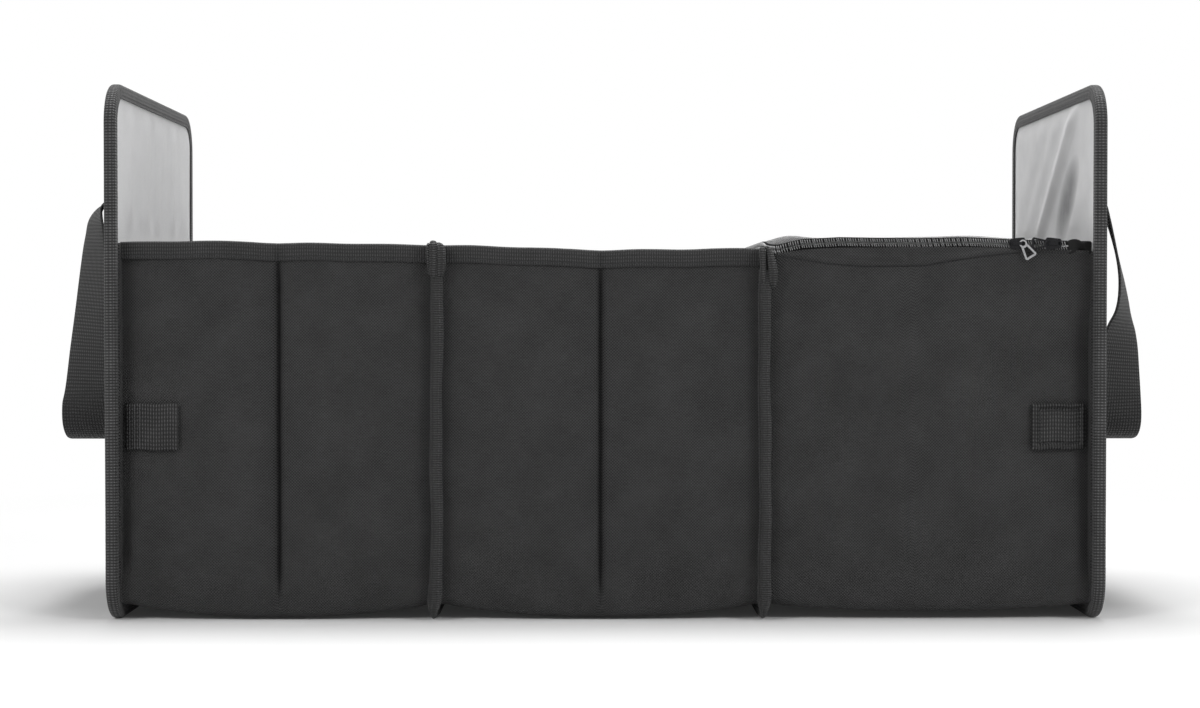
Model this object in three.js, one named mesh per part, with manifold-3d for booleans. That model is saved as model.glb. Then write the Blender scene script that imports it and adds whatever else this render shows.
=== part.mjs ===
// Collapsible car organizer: two open bays and a zipped cooler bay between two tall stiff end panels.
// Millimetres. Z is up, the front faces -Y, and the origin is on the ground under the middle.

import * as THREE from 'three';
import { mergeVertices } from 'three/addons/utils/BufferGeometryUtils.js';
import Module from 'manifold-3d';

const wasm = await Module();
wasm.setup();

// Overall sizes
const length = 660;
const depth = 305;
const panelHeight = 358;
const panelCorner = 28;
const wallHeight = 246;
const leftBayLength = 212;
const middleBayLength = 218;

// Sheet thicknesses
const coverThickness = 1;
const endBoardThickness = 3;
const liningThickness = 0.8;
const shellThickness = 1;
const wallBoardThickness = 2;
const dividerThickness = 4;
const baseBoardThickness = 3;
const baseBoardCorner = 6;
const foamThickness = 6;
const linerThickness = 0.8;
const bindingThickness = 1;
const webbingThickness = 2;

// Clearances
const seat = 0.3;
const boardMargin = 2;
const baseBoardClearance = 1.5;

// Binding tape and seams
const panelBindingWidth = 9.5;
const topBindingWidth = 11.7;
const seamWidth = 8;
const seamProud = 9;
const seamLean = 3;
const seamLeanHeight = 70;
const capWidth = 10.5;
const capProud = 1.5;
const capDrop = 8;
const capRise = 9;
const capNeck = 10;
const capCorner = 2;
const capSlitWidth = 1.4;
const capSlitDepth = 8;

// Swell, creases and sag of the fabric walls
const wallSwell = 5;
const coolerSwell = 3;
const creaseDepth = 2;
const creaseHalfWidth = 4;
const topDip = 1.2;
const topDipHalfWidth = 30;
const leftTopRise = 5;
const bottomClearance = 0.8;
const coolerBottomClearance = 4.5;
const innerFoldRadius = 1.6;
const hangFullness = 0.7;

// Carrying handles
const handleWidth = 38;
const handleThickness = 2;
const handleSpread = 140;
const handleEndLength = 44;
const handleEndThickness = 3.2;
const handleHingeHeight = 282;
const handleShoulder = 20;
const handleBottom = 121;
const handleBend = 30;
const handleBow = 25;
const handleTwistStart = 0.12;
const handleTwistEnd = 0.68;

// Closure tabs
const tabWidth = 31;
const tabLength = 37;
const tabHeight = 129.5;
const tabInset = 3;

// Cooler
const coolerHemHeight = 238;
const coolerHemRise = 7;
const foamTop = 229.7;
const lidEdgeHeight = 254.5;
const lidCrown = 5.5;
const lidSkirt = 2.6;
const lidFoamInset = 4;
const lidHingeStrip = 16;

// Zip
const zipLine = 251;
const zipCorner = 14;
const tapeThickness = 0.8;
const coilWidth = 1.6;
const coilThickness = 2;
const coilGap = 1.2;

// Zip sliders and their pulls
const sliderLength = 10.6;
const sliderHeight = 8;
const sliderPlate = 1;
const sliderClearance = 0.5;
const sliderPost = 5;
const sliderPostInset = 0.5;
const sliderPostThickness = 0.6;
const sliderBackLength = 9;
const sliderBackHeight = 6.4;
const sliderLipLength = 4.2;
const sliderLipHeight = 0.8;
const sliderLipInset = 0.6;
const bridgeLength = 8.4;
const bridgeFoot = 1.4;
const bridgeWidth = 2;
const bridgeOpening = 1.9;
const bridgeThickness = 1;
const pullEyeRadius = 1.6;
const pullRim = 1;
const pullThickness = 0.9;
const pullLength = 11;
const pullEndWidth = 8.4;
const pullNeckWidth = 4.6;
const pullWindowWall = 1.4;
const pullWindowGap = 0.4;
const pullAngle = 58;
const zipSliderFromEnd = 50;
const endSliderFromEnd = 26;

// How finely curves are cut into flat faces, and how near points must be to be one point
const panelCornerSegments = 6;
const boardCornerSegments = 3;
const eyeSegments = 8;
const strapSteps = 18;
const zipCornerSteps = 5;
const wallSteps = 5;
const foldSteps = 3;
const plainWallStations = 6;
const halfWallStations = 4;
const topStep = 1;
const leastStation = 0.5;
const weldDistance = 1e-4;

// Places worked out from the sizes above
const panelStack = coverThickness + endBoardThickness + liningThickness + 2 * seat;
const liningFace = length / 2 - panelStack;
const bindingWrap = bindingThickness + seat;
const bayEnd = liningFace - bindingWrap - seat;
const leftSeamX = -liningFace + leftBayLength;
const rightSeamX = leftSeamX + middleBayLength;
const wallPlane = depth / 2 - panelBindingWidth - bindingThickness - 2 * seat;
const endLift = Math.max(panelBindingWidth, seamProud) + seat;
const seamFlat = seamWidth / 2 + seamLean;
const handleStandOff = handleEndThickness + 2 * seat + handleThickness / 2;
const zipSliderX = bayEnd - zipSliderFromEnd;
const endSliderX = bayEnd - endSliderFromEnd;

// Depth of each layer behind the outer face of a fabric wall
const boardOut = shellThickness + seat;
const boardIn = boardOut + wallBoardThickness;
const liningOut = boardIn + seat;
const liningIn = liningOut + liningThickness;
const foamOut = boardOut;
const foamIn = foamOut + foamThickness;
const linerOut = foamIn + seat;
const linerIn = linerOut + linerThickness;
const foldRadius = Math.max(linerIn, liningIn) + innerFoldRadius;

// Fabric and hard materials

function material(color, roughness, metalness = 0) {
  return () => new THREE.MeshStandardMaterial({ color, roughness, metalness });
}

const blackCloth = material(0x26272a, 0.85);
const greyLining = material(0xa9abad, 0.75);
const blackWebbing = material(0x1d1e20, 0.7);
const greyBoard = material(0x6f6a62, 0.9);
const whiteFoam = material(0xe6e7e4, 0.9);
const silverLiner = material(0xb9bcc0, 0.35);
const blackTape = material(0x17181a, 0.8);
const blackNylon = material(0x101113, 0.45);
const brightMetal = material(0x9a9ca0, 0.3, 1);

// Closed solids from rings of points, and joins and cuts between them

function volumeOf(positions, indices) {
  const corner = (i) => new THREE.Vector3().fromArray(positions, 3 * i);
  let sum = 0;
  for (let i = 0; i < indices.length; i += 3) {
    const [a, b, c] = [corner(indices[i]), corner(indices[i + 1]), corner(indices[i + 2])];
    sum += a.dot(b.cross(c));
  }
  return sum / 6;
}

function capFaces(ring, flatten, first, along) {
  const outline = ring.map(flatten);
  const turn = Math.sign(THREE.ShapeUtils.area(outline));
  return THREE.ShapeUtils.triangulateShape(outline, []).flatMap(([a, b, c]) => {
    const faceTurn = Math.sign(THREE.ShapeUtils.area([outline[a], outline[b], outline[c]]));
    const keeps = faceTurn === turn * along;
    return keeps ? [first + a, first + b, first + c] : [first + a, first + c, first + b];
  });
}

// Each four-sided face is split along its shorter diagonal, so that nested sheets fold alike
function loft(rings, flattenStart, flattenEnd = flattenStart) {
  const size = rings[0].length;
  const points = rings.flat();
  const positions = points.flatMap((p) => [p.x, p.y, p.z]);
  const indices = [];
  for (let r = 0; r < rings.length - 1; r++) {
    for (let i = 0; i < size; i++) {
      const a = r * size + i;
      const b = r * size + ((i + 1) % size);
      const [c, d] = [b + size, a + size];
      const shorter = points[a].distanceTo(points[c]) <= points[b].distanceTo(points[d]);
      indices.push(...(shorter ? [a, b, c, a, c, d] : [a, b, d, b, c, d]));
    }
  }
  indices.push(...capFaces(rings[0], flattenStart, 0, -1));
  indices.push(...capFaces(rings.at(-1), flattenEnd, (rings.length - 1) * size, 1));
  if (volumeOf(positions, indices) < 0) {
    indices.reverse();
  }
  const geometry = new THREE.BufferGeometry();
  geometry.setAttribute('position', new THREE.Float32BufferAttribute(positions, 3));
  geometry.setIndex(indices);
  return geometry;
}

const fromSide = (p) => new THREE.Vector2(p.y, p.z);
const fromTop = (p) => new THREE.Vector2(p.x, p.y);

function loftAlongX(stations, ringAt) {
  const rings = stations.map((x) => ringAt(x).map(([y, z]) => new THREE.Vector3(x, y, z)));
  return loft(rings, fromSide);
}

function toSolid(geometry) {
  const bare = new THREE.BufferGeometry();
  bare.setAttribute('position', geometry.getAttribute('position').clone());
  bare.setIndex(geometry.getIndex());
  const merged = mergeVertices(bare, weldDistance);
  const vertProperties = new Float32Array(merged.getAttribute('position').array);
  const triVerts = new Uint32Array(merged.getIndex().array);
  return new wasm.Manifold(new wasm.Mesh({ numProp: 3, vertProperties, triVerts }));
}

function toGeometry(solid) {
  const mesh = solid.getMesh();
  const geometry = new THREE.BufferGeometry();
  geometry.setAttribute('position', new THREE.Float32BufferAttribute(mesh.vertProperties, 3));
  geometry.setIndex(Array.from(mesh.triVerts));
  return geometry;
}

function boxBetween(low, high) {
  const size = high.map((value, i) => value - low[i]);
  const box = new THREE.BoxGeometry(...size);
  return box.translate(low[0] + size[0] / 2, low[1] + size[1] / 2, low[2] + size[2] / 2);
}

const organizer = new THREE.Group();

function add(name, geometry, makeMaterial) {
  geometry.computeVertexNormals();
  const mesh = new THREE.Mesh(geometry, makeMaterial());
  mesh.name = name;
  organizer.add(mesh);
  return mesh;
}

// The three bays, each with the run of its top edge, its swell and how far its floor hangs down

const leftBay = {
  name: 'left_bay',
  start: -bayEnd,
  end: leftSeamX - seat,
  crease: (-liningFace + leftSeamX) / 2,
  swell: wallSwell,
  clearance: bottomClearance,
  topEdge: (share) => wallHeight + leftTopRise * (1 - share),
};

const middleBay = {
  name: 'middle_bay',
  start: leftSeamX + seat,
  end: rightSeamX - seat,
  crease: (leftSeamX + rightSeamX) / 2,
  swell: wallSwell,
  clearance: bottomClearance,
  topEdge: () => wallHeight,
};

const coolerBay = {
  name: 'cooler',
  start: rightSeamX + seat,
  end: bayEnd,
  crease: null,
  swell: coolerSwell,
  clearance: coolerBottomClearance,
  topEdge: (share) => coolerHemHeight + coolerHemRise * share ** 3,
};

// How a wall swells between its fixed edges, sinks at its crease, and how its floor hangs between seams

function shareAlong(from, to, x) {
  const share = (x - from) / (to - from);
  return THREE.MathUtils.clamp(share, 0, 1);
}

function swellAcross(bay, x) {
  const from = bay.start + seamFlat;
  const to = bay.end - seamFlat;
  if (bay.crease === null) {
    return bay.swell * Math.sin(Math.PI * shareAlong(from, to, x));
  }
  const [a, b] = x < bay.crease ? [from, bay.crease] : [bay.crease, to];
  const sink = Math.max(0, 1 - Math.abs(x - bay.crease) / creaseHalfWidth);
  return bay.swell * Math.sin(Math.PI * shareAlong(a, b, x)) - creaseDepth * sink;
}

function bottomAt(bay, x) {
  const share = shareAlong(bay.start + seamFlat, bay.end - seamFlat, x);
  const hang = Math.sin(Math.PI * share) ** hangFullness;
  return endLift + (bay.clearance - endLift) * hang;
}

function edgeAt(bay, x) {
  const edge = bay.topEdge(shareAlong(bay.start, bay.end, x));
  if (bay.crease === null) {
    return edge;
  }
  return edge - topDip * Math.max(0, 1 - Math.abs(x - bay.crease) / topDipHalfWidth);
}

function wallTop(bay, x) {
  return bay.crease === null ? edgeAt(bay, x) : edgeAt(bay, x) - bindingWrap;
}

function swellAt(bay, x, z) {
  const foldTop = bottomAt(bay, x) + foldRadius;
  const share = shareAlong(foldTop, edgeAt(bay, x) - topBindingWidth, z);
  return swellAcross(bay, x) * Math.sin(Math.PI * share);
}

// The front half of a bay's section at one depth behind its outer face, from the top down to mid floor

function wallHeights(bay, x, top) {
  const foldTop = bottomAt(bay, x) + foldRadius;
  const bound = Math.min(top - topStep, edgeAt(bay, x) - topBindingWidth);
  const heights = [top];
  for (let i = 0; i <= wallSteps; i++) {
    heights.push(bound + ((foldTop - bound) * i) / wallSteps);
  }
  return heights;
}

function frontWall(bay, x, behind, top) {
  return wallHeights(bay, x, top).map((z) => [-(wallPlane - behind) - swellAt(bay, x, z), z]);
}

function halfSection(bay, x, behind, top) {
  const points = frontWall(bay, x, behind, top);
  const centreZ = bottomAt(bay, x) + foldRadius;
  const radius = foldRadius - behind;
  for (let i = 1; i <= foldSteps; i++) {
    const turn = (Math.PI / 2) * (i / foldSteps);
    const y = -(wallPlane - foldRadius) - radius * Math.cos(turn);
    points.push([y, centreZ - radius * Math.sin(turn)]);
  }
  return points;
}

function section(bay, x, behind, top) {
  const front = halfSection(bay, x, behind, top);
  const back = front.map(([y, z]) => [-y, z]).reverse();
  return [...front, ...back];
}

function stationsBetween(bay, from, to) {
  const low = bay.start + seamFlat;
  const high = bay.end - seamFlat;
  const spans = bay.crease === null ? [[low, high]] : [[low, bay.crease], [bay.crease, high]];
  const steps = bay.crease === null ? plainWallStations : halfWallStations;
  const all = [];
  for (const [a, b] of spans) {
    for (let i = 0; i <= steps; i++) {
      all.push(a + ((b - a) * i) / steps);
    }
  }
  if (bay.crease !== null) {
    all.push(bay.crease - creaseHalfWidth, bay.crease + creaseHalfWidth);
  }
  const inside = all.filter((x) => x > from + leastStation && x < to - leastStation);
  return [...new Set([from, ...inside, to])].sort((a, b) => a - b);
}

// A folded sheet: front wall, floor and back wall in one piece of cloth

function foldedSheet(bay, from, to, outer, inner, topAt) {
  return loftAlongX(stationsBetween(bay, from, to), (x) => {
    const top = topAt(x);
    return [...section(bay, x, outer, top), ...section(bay, x, inner, top).reverse()];
  });
}

// A sheet inside one wall; side is -1 at the front and 1 at the back

function wallSheet(bay, side, from, to, outer, inner, topAt) {
  return loftAlongX(stationsBetween(bay, from, to), (x) => {
    const faces = [outer, inner].map((behind) => frontWall(bay, x, behind, topAt(x)));
    return [...faces[0], ...faces[1].reverse()].map(([y, z]) => [-side * y, z]);
  });
}

// Stiff end panels: a board between an outer cover and a light lining, bound all round with tape

function panelSlab(side, shrink, outer, inner) {
  const halfDepth = depth / 2 - shrink;
  const high = panelHeight - shrink;
  const radius = Math.max(panelCorner - shrink, 1);
  const outline = new THREE.Shape();
  outline.absarc(halfDepth - radius, high - radius, radius, 0, Math.PI / 2);
  outline.absarc(-halfDepth + radius, high - radius, radius, Math.PI / 2, Math.PI);
  outline.absarc(-halfDepth + radius, shrink + radius, radius, Math.PI, 1.5 * Math.PI);
  outline.absarc(halfDepth - radius, shrink + radius, radius, 1.5 * Math.PI, 2 * Math.PI);
  const slab = new THREE.ExtrudeGeometry(outline, {
    depth: inner - outer,
    bevelEnabled: false,
    curveSegments: panelCornerSegments,
  });
  const alongX = new THREE.Matrix4().makeBasis(
    new THREE.Vector3(0, 1, 0),
    new THREE.Vector3(0, 0, 1),
    new THREE.Vector3(1, 0, 0),
  );
  slab.applyMatrix4(alongX);
  const lowX = side > 0 ? length / 2 - inner : -length / 2 + outer;
  return slab.translate(lowX, 0, 0);
}

function panelBinding(side) {
  const outside = toSolid(panelSlab(side, 0, -bindingWrap, panelStack + bindingWrap));
  const slot = toSolid(panelSlab(side, bindingThickness, -seat, panelStack + seat));
  const window = toSolid(panelSlab(side, panelBindingWidth, -2 * bindingWrap, panelStack + 2 * bindingWrap));
  return toGeometry(outside.subtract(slot).subtract(window));
}

function endPanel(name, side) {
  const boardStart = coverThickness + seat;
  const liningStart = boardStart + endBoardThickness + seat;
  add(`${name}_panel_cover`, panelSlab(side, bindingWrap, 0, coverThickness), blackCloth);
  const board = panelSlab(side, bindingWrap, boardStart, boardStart + endBoardThickness);
  add(`${name}_panel_board`, board, greyBoard);
  add(`${name}_panel_lining`, panelSlab(side, bindingWrap, liningStart, panelStack), greyLining);
  add(`${name}_panel_binding`, panelBinding(side), blackWebbing);
}

endPanel('left', -1);
endPanel('right', 1);

// Carrying handles: one webbing strap a side, folded down over its sewn ends and hanging in a loop that
// turns its width from along the panel to straight out from it

function strapCurve() {
  const y = -handleSpread / 2;
  const top = handleHingeHeight;
  const drop = top - handleBottom;
  const points = [
    [handleStandOff, y, top],
    [0.45 * handleBow, y, top - 0.5 * handleShoulder],
    [0.72 * handleBow, y, top - 1.4 * handleShoulder],
    [0.88 * handleBow, y, top - 0.35 * drop],
    [0.95 * handleBow, y, top - 0.55 * drop],
    [handleBow, y, handleBottom + handleBend],
    [handleBow, y + 0.3 * handleBend, handleBottom + 0.3 * handleBend],
    [handleBow, y + handleBend, handleBottom],
    [handleBow, 0, handleBottom],
  ];
  return new THREE.CatmullRomCurve3(points.map((p) => new THREE.Vector3(...p)), false, 'centripetal');
}

function strapRing(point, tangent, widthDirection) {
  const across = widthDirection.clone().addScaledVector(tangent, -widthDirection.dot(tangent)).normalize();
  const out = new THREE.Vector3().crossVectors(tangent, across).multiplyScalar(handleThickness / 2);
  across.multiplyScalar(handleWidth / 2);
  const corners = [[1, 1], [-1, 1], [-1, -1], [1, -1]];
  return corners.map(([a, b]) => point.clone().addScaledVector(across, a).addScaledVector(out, b));
}

function handleLoop(side) {
  const curve = strapCurve();
  const half = [];
  for (let i = 0; i <= strapSteps; i++) {
    const t = i / strapSteps;
    const turn = (Math.PI / 2) * THREE.MathUtils.smoothstep(t, handleTwistStart, handleTwistEnd);
    const direction = new THREE.Vector3(Math.sin(turn), Math.cos(turn), 0);
    half.push(strapRing(curve.getPointAt(t), curve.getTangentAt(t), direction));
  }
  const rear = half
    .slice(0, -1)
    .reverse()
    .map((ring) => ring.map((p) => new THREE.Vector3(p.x, -p.y, p.z)));
  const rings = [...half, ...rear].map((ring) =>
    ring.map((p) => new THREE.Vector3(side * (length / 2 + p.x), p.y, p.z)),
  );
  return loft(rings, fromTop);
}

function handleEnd(side, end) {
  const middle = (end * handleSpread) / 2;
  const near = side * (length / 2 + seat);
  const far = side * (length / 2 + seat + handleEndThickness);
  const low = [Math.min(near, far), middle - handleWidth / 2, handleHingeHeight - handleEndLength];
  return boxBetween(low, [Math.max(near, far), middle + handleWidth / 2, handleHingeHeight]);
}

function handle(name, side) {
  add(`${name}_handle_loop`, handleLoop(side), blackWebbing);
  add(`${name}_handle_front_end`, handleEnd(side, -1), blackWebbing);
  add(`${name}_handle_rear_end`, handleEnd(side, 1), blackWebbing);
}

handle('left', -1);
handle('right', 1);

// Open bays: outer cloth, stiff boards that stop short of the crease, inner lining and bound top edges

const leftDividerFaces = [leftSeamX - dividerThickness / 2, leftSeamX + dividerThickness / 2];
const rightDividerFaces = [rightSeamX - dividerThickness / 2, rightSeamX + dividerThickness / 2];

function topBinding(bay, side, from, to) {
  const outer = -bindingWrap;
  const inner = liningIn + bindingWrap;
  return loftAlongX(stationsBetween(bay, from, to), (x) => {
    const top = edgeAt(bay, x);
    const low = top - topBindingWidth;
    const under = top - bindingThickness;
    const ring = [
      [outer, low],
      [outer, top],
      [inner, top],
      [inner, low],
      [inner - bindingThickness, low],
      [inner - bindingThickness, under],
      [outer + bindingThickness, under],
      [outer + bindingThickness, low],
    ];
    return ring.map(([behind, z]) => [side * (wallPlane - behind), z]);
  });
}

function openBay(bay, from, to) {
  const topAt = (x) => wallTop(bay, x);
  add(`${bay.name}_shell`, foldedSheet(bay, bay.start, bay.end, 0, shellThickness, topAt), blackCloth);
  add(`${bay.name}_lining`, foldedSheet(bay, from, to, liningOut, liningIn, topAt), greyLining);
  for (const [place, side] of [['front', -1], ['back', 1]]) {
    const halves = [
      [from + boardMargin, bay.crease - creaseHalfWidth],
      [bay.crease + creaseHalfWidth, to - boardMargin],
    ];
    halves.forEach(([a, b], i) => {
      const board = wallSheet(bay, side, a, b, boardOut, boardIn, topAt);
      add(`${bay.name}_${place}_board_${i + 1}`, board, greyBoard);
    });
    add(`${bay.name}_${place}_top_binding`, topBinding(bay, side, from, to), blackWebbing);
  }
}

openBay(leftBay, leftBay.start, leftDividerFaces[0] - seat);
openBay(middleBay, leftDividerFaces[1] + seat, rightDividerFaces[0] - seat);

// Dividers between the bays, each a board in a cloth sleeve that follows the folded walls and floor

function divider(bay, faces) {
  const top = wallHeight - bindingWrap;
  return loftAlongX(faces, () => section(bay, bay.start, boardOut, top));
}

function dividerBinding(faces) {
  const half = wallPlane - liningIn - bindingWrap - seat;
  const top = wallHeight;
  const low = top - topBindingWidth;
  const outer = [faces[0] - bindingWrap, faces[1] + bindingWrap];
  const hood = toSolid(boxBetween([outer[0], -half, low], [outer[1], half, top]));
  const room = boxBetween(
    [faces[0] - seat, -depth, low - topStep],
    [faces[1] + seat, depth, top - bindingThickness],
  );
  return toGeometry(hood.subtract(toSolid(room)));
}

add('left_divider', divider(middleBay, leftDividerFaces), greyLining);
add('left_divider_binding', dividerBinding(leftDividerFaces), blackWebbing);
add('right_divider', divider(coolerBay, rightDividerFaces), greyLining);

// Loose base boards that lie on the lining and stiffen the floors

function baseBoard(from, to) {
  const half = wallPlane - foldRadius - baseBoardClearance;
  const low = endLift + liningIn + seat;
  const outline = new THREE.Shape();
  const corner = baseBoardCorner;
  outline.moveTo(from + corner, -half);
  outline.absarc(to - corner, -half + corner, corner, -Math.PI / 2, 0);
  outline.absarc(to - corner, half - corner, corner, 0, Math.PI / 2);
  outline.absarc(from + corner, half - corner, corner, Math.PI / 2, Math.PI);
  outline.absarc(from + corner, -half + corner, corner, Math.PI, 1.5 * Math.PI);
  const board = new THREE.ExtrudeGeometry(outline, {
    depth: baseBoardThickness,
    bevelEnabled: false,
    curveSegments: boardCornerSegments,
  });
  return board.translate(0, 0, low);
}

const leftFloor = [leftBay.start + baseBoardClearance, leftDividerFaces[0] - baseBoardClearance];
const middleFloor = [leftDividerFaces[1] + baseBoardClearance, rightDividerFaces[0] - baseBoardClearance];
add('left_base_board', baseBoard(...leftFloor), blackCloth);
add('middle_base_board', baseBoard(...middleFloor), blackCloth);

// Bound seams between the bays: a proud rib down the front, under the floor and up the back, its two
// ends folded over the top binding as small slit caps

function seamCap(x, side) {
  const top = wallHeight + capRise;
  const low = wallHeight - capDrop;
  const neck = seamWidth / 2;
  const half = capWidth / 2;
  const outline = new THREE.Shape();
  outline.moveTo(-neck, low - capNeck);
  outline.lineTo(neck, low - capNeck);
  outline.lineTo(neck, low - capCorner);
  outline.lineTo(half, low);
  outline.lineTo(half, top - capCorner);
  outline.lineTo(half - capCorner, top);
  outline.lineTo(capSlitWidth / 2, top);
  outline.lineTo(0, top - capSlitDepth);
  outline.lineTo(-capSlitWidth / 2, top);
  outline.lineTo(-half + capCorner, top);
  outline.lineTo(-half, top - capCorner);
  outline.lineTo(-half, low);
  outline.lineTo(-neck, low - capCorner);
  const near = wallPlane + bindingWrap + seat;
  const far = wallPlane + seat + seamProud + capProud;
  const cap = new THREE.ExtrudeGeometry(outline, { depth: far - near, bevelEnabled: false });
  cap.rotateX(Math.PI / 2);
  return cap.translate(x, side < 0 ? -near : far, 0);
}

function seamRib(bay, x) {
  const top = wallHeight - topBindingWidth - seat;
  const ring = [
    ...section(bay, bay.start, -seat - seamProud, top),
    ...section(bay, bay.start, -seat, top).reverse(),
  ];
  const rings = [-seamWidth / 2, seamWidth / 2].map((across) =>
    ring.map(([y, z]) => new THREE.Vector3(x + across, y, z)),
  );
  return loft(rings, fromSide);
}

function leanAtFoot(geometry, lean) {
  const position = geometry.getAttribute('position');
  for (let i = 0; i < position.count; i++) {
    const share = THREE.MathUtils.clamp(1 - position.getZ(i) / seamLeanHeight, 0, 1);
    position.setX(i, position.getX(i) - lean * share * share);
  }
  return geometry;
}

function seamBinding(bay, x, lean) {
  let solid = toSolid(leanAtFoot(seamRib(bay, x), lean));
  for (const side of [-1, 1]) {
    solid = solid.add(toSolid(seamCap(x, side)));
  }
  return toGeometry(solid);
}

add('left_seam_binding', seamBinding(middleBay, leftSeamX, seamLean), blackWebbing);
add('right_seam_binding', seamBinding(coolerBay, rightSeamX, 0), blackWebbing);

// Closure tabs: short webbing tabs laid flat on the walls beside the end panels

function closureTab(bay, side, from, to) {
  const high = tabHeight + tabWidth / 2;
  const heights = [high, tabHeight, tabHeight - tabWidth / 2];
  const middle = (from + to) / 2;
  return loftAlongX([from, middle, to], (x) => {
    const at = (behind) => (z) => [side * (wallPlane - behind + swellAt(bay, x, z)), z];
    const outer = heights.map(at(-seat - webbingThickness));
    const inner = heights.map(at(-seat)).reverse();
    return [...outer, ...inner];
  });
}

for (const [place, side] of [['front', -1], ['back', 1]]) {
  const reach = bayEnd - tabInset;
  const leftTab = closureTab(leftBay, side, -reach, -reach + tabLength);
  const rightTab = closureTab(coolerBay, side, reach - tabLength, reach);
  add(`${place}_left_tab`, leftTab, blackWebbing);
  add(`${place}_right_tab`, rightTab, blackWebbing);
}

// Cooler bay: outer cloth, five foam sheets and a welded liner tub

const zipLeft = rightDividerFaces[1] + seat;
const coolerInside = [zipLeft + tapeThickness + seat, bayEnd];
const foamFaces = [coolerInside[0] + foamThickness, coolerInside[1] - foamThickness];

add('cooler_shell', foldedSheet(coolerBay, coolerBay.start, coolerBay.end, 0, shellThickness, (x) =>
  edgeAt(coolerBay, x)), blackCloth);

for (const [place, side] of [['front', -1], ['back', 1]]) {
  const sheet = wallSheet(coolerBay, side, ...coolerInside, foamOut, foamIn, () => foamTop);
  add(`cooler_${place}_foam`, sheet, whiteFoam);
}

function sideFoam(from, to) {
  const half = wallPlane - foamIn - seat;
  const low = endLift + foamIn + seat;
  return boxBetween([from, -half, low], [to, half, foamTop]);
}

add('cooler_left_foam', sideFoam(coolerInside[0], foamFaces[0]), whiteFoam);
add('cooler_right_foam', sideFoam(foamFaces[1], coolerInside[1]), whiteFoam);

function floorFoam() {
  const half = wallPlane - foldRadius - seat;
  return loftAlongX(stationsBetween(coolerBay, ...coolerInside), (x) => {
    const low = bottomAt(coolerBay, x) + foamOut;
    const high = low + foamThickness;
    return [[-half, low], [half, low], [half, high], [-half, high]];
  });
}

add('cooler_floor_foam', floorFoam(), whiteFoam);

function coolerLiner() {
  const [from, to] = [foamFaces[0] + seat, foamFaces[1] - seat];
  const tub = loftAlongX(stationsBetween(coolerBay, from, to), (x) =>
    section(coolerBay, x, linerOut, foamTop));
  const inside = [from + linerThickness, to - linerThickness];
  const hollow = loftAlongX(stationsBetween(coolerBay, ...inside), (x) =>
    section(coolerBay, x, linerIn, foamTop + 1));
  return toGeometry(toSolid(tub).subtract(toSolid(hollow)));
}

add('cooler_liner', coolerLiner(), silverLiner);

// Zip line in plan, round three sides of the cooler and moved inward by the given amount, and strips
// of tape or coil that follow it

const lidHingeX = bayEnd - lidHingeStrip;

function zipPath(inward, endX) {
  const half = wallPlane - boardOut - inward;
  const left = zipLeft + inward;
  const radius = zipCorner - inward;
  const points = [[endX, -half]];
  for (let i = 0; i <= zipCornerSteps; i++) {
    const turn = (Math.PI / 2) * (i / zipCornerSteps);
    points.push([left + radius - radius * Math.sin(turn), -half + radius - radius * Math.cos(turn)]);
  }
  return [...points, ...points.map(([x, y]) => [x, -y]).reverse()];
}

function zipStrip(inwardOuter, inwardInner, endX, low, high) {
  const outer = zipPath(inwardOuter, endX);
  const inner = zipPath(inwardInner, endX);
  const rings = outer.map(([x, y], i) => [
    new THREE.Vector3(x, y, low),
    new THREE.Vector3(x, y, high),
    new THREE.Vector3(...inner[i], high),
    new THREE.Vector3(...inner[i], low),
  ]);
  return loft(rings, fromSide);
}

// Crowned lid, carried on a cloth hinge tape along the end panel. Its crown rises by these shares of
// its height at these distances in from its edge.

const lidRise = [[0, 0], [4, 0.25], [18, 0.62], [45, 0.92], [80, 1]];

function lidBlock(inward, low, edge, crown) {
  const bottom = zipPath(inward, lidHingeX - inward).map(([x, y]) => new THREE.Vector3(x, y, low));
  const rings = [bottom];
  for (const [inset, share] of lidRise) {
    const outline = lidOutline(inward, inset);
    rings.push(outline.map(([x, y]) => new THREE.Vector3(x, y, edge + crown * share)));
  }
  return loft(rings, fromTop);
}

function lidOutline(inward, inset) {
  const line = zipPath(inward, lidHingeX - inward);
  const xs = line.map(([x]) => x);
  const middleX = (Math.min(...xs) + Math.max(...xs)) / 2;
  const halfX = (Math.max(...xs) - Math.min(...xs)) / 2;
  const halfY = Math.max(...line.map(([, y]) => y));
  const shrinkX = (halfX - inset) / halfX;
  const shrinkY = (halfY - inset) / halfY;
  return line.map(([x, y]) => [middleX + (x - middleX) * shrinkX, y * shrinkY]);
}

const lidInset = tapeThickness + seat;
const lidFoamLow = lidEdgeHeight - coverThickness - seat - foamThickness;

function lidCover() {
  const outside = toSolid(lidBlock(lidInset, lidEdgeHeight - lidSkirt, lidEdgeHeight, lidCrown));
  const under = lidEdgeHeight - coverThickness;
  const inside = toSolid(lidBlock(lidInset + coverThickness, lidEdgeHeight - 2 * lidSkirt, under, lidCrown));
  return toGeometry(outside.subtract(inside));
}

add('lid_cover', lidCover(), blackCloth);
const lidFoamEdge = lidEdgeHeight - coverThickness - seat;
add('lid_foam', lidBlock(lidInset + lidFoamInset, lidFoamLow, lidFoamEdge, lidCrown), whiteFoam);
const lidLinerHigh = lidFoamLow - seat;
const lidLinerLow = lidLinerHigh - linerThickness;
add('lid_liner', lidBlock(lidInset + lidFoamInset, lidLinerLow, lidLinerHigh, 0), silverLiner);

function lidHingeTape() {
  const half = wallPlane - boardOut - lidInset;
  const low = lidEdgeHeight - lidSkirt;
  return boxBetween([lidHingeX + 2 * seat, -half, low], [bayEnd, half, low + coverThickness]);
}

add('lid_hinge_tape', lidHingeTape(), blackCloth);

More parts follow.
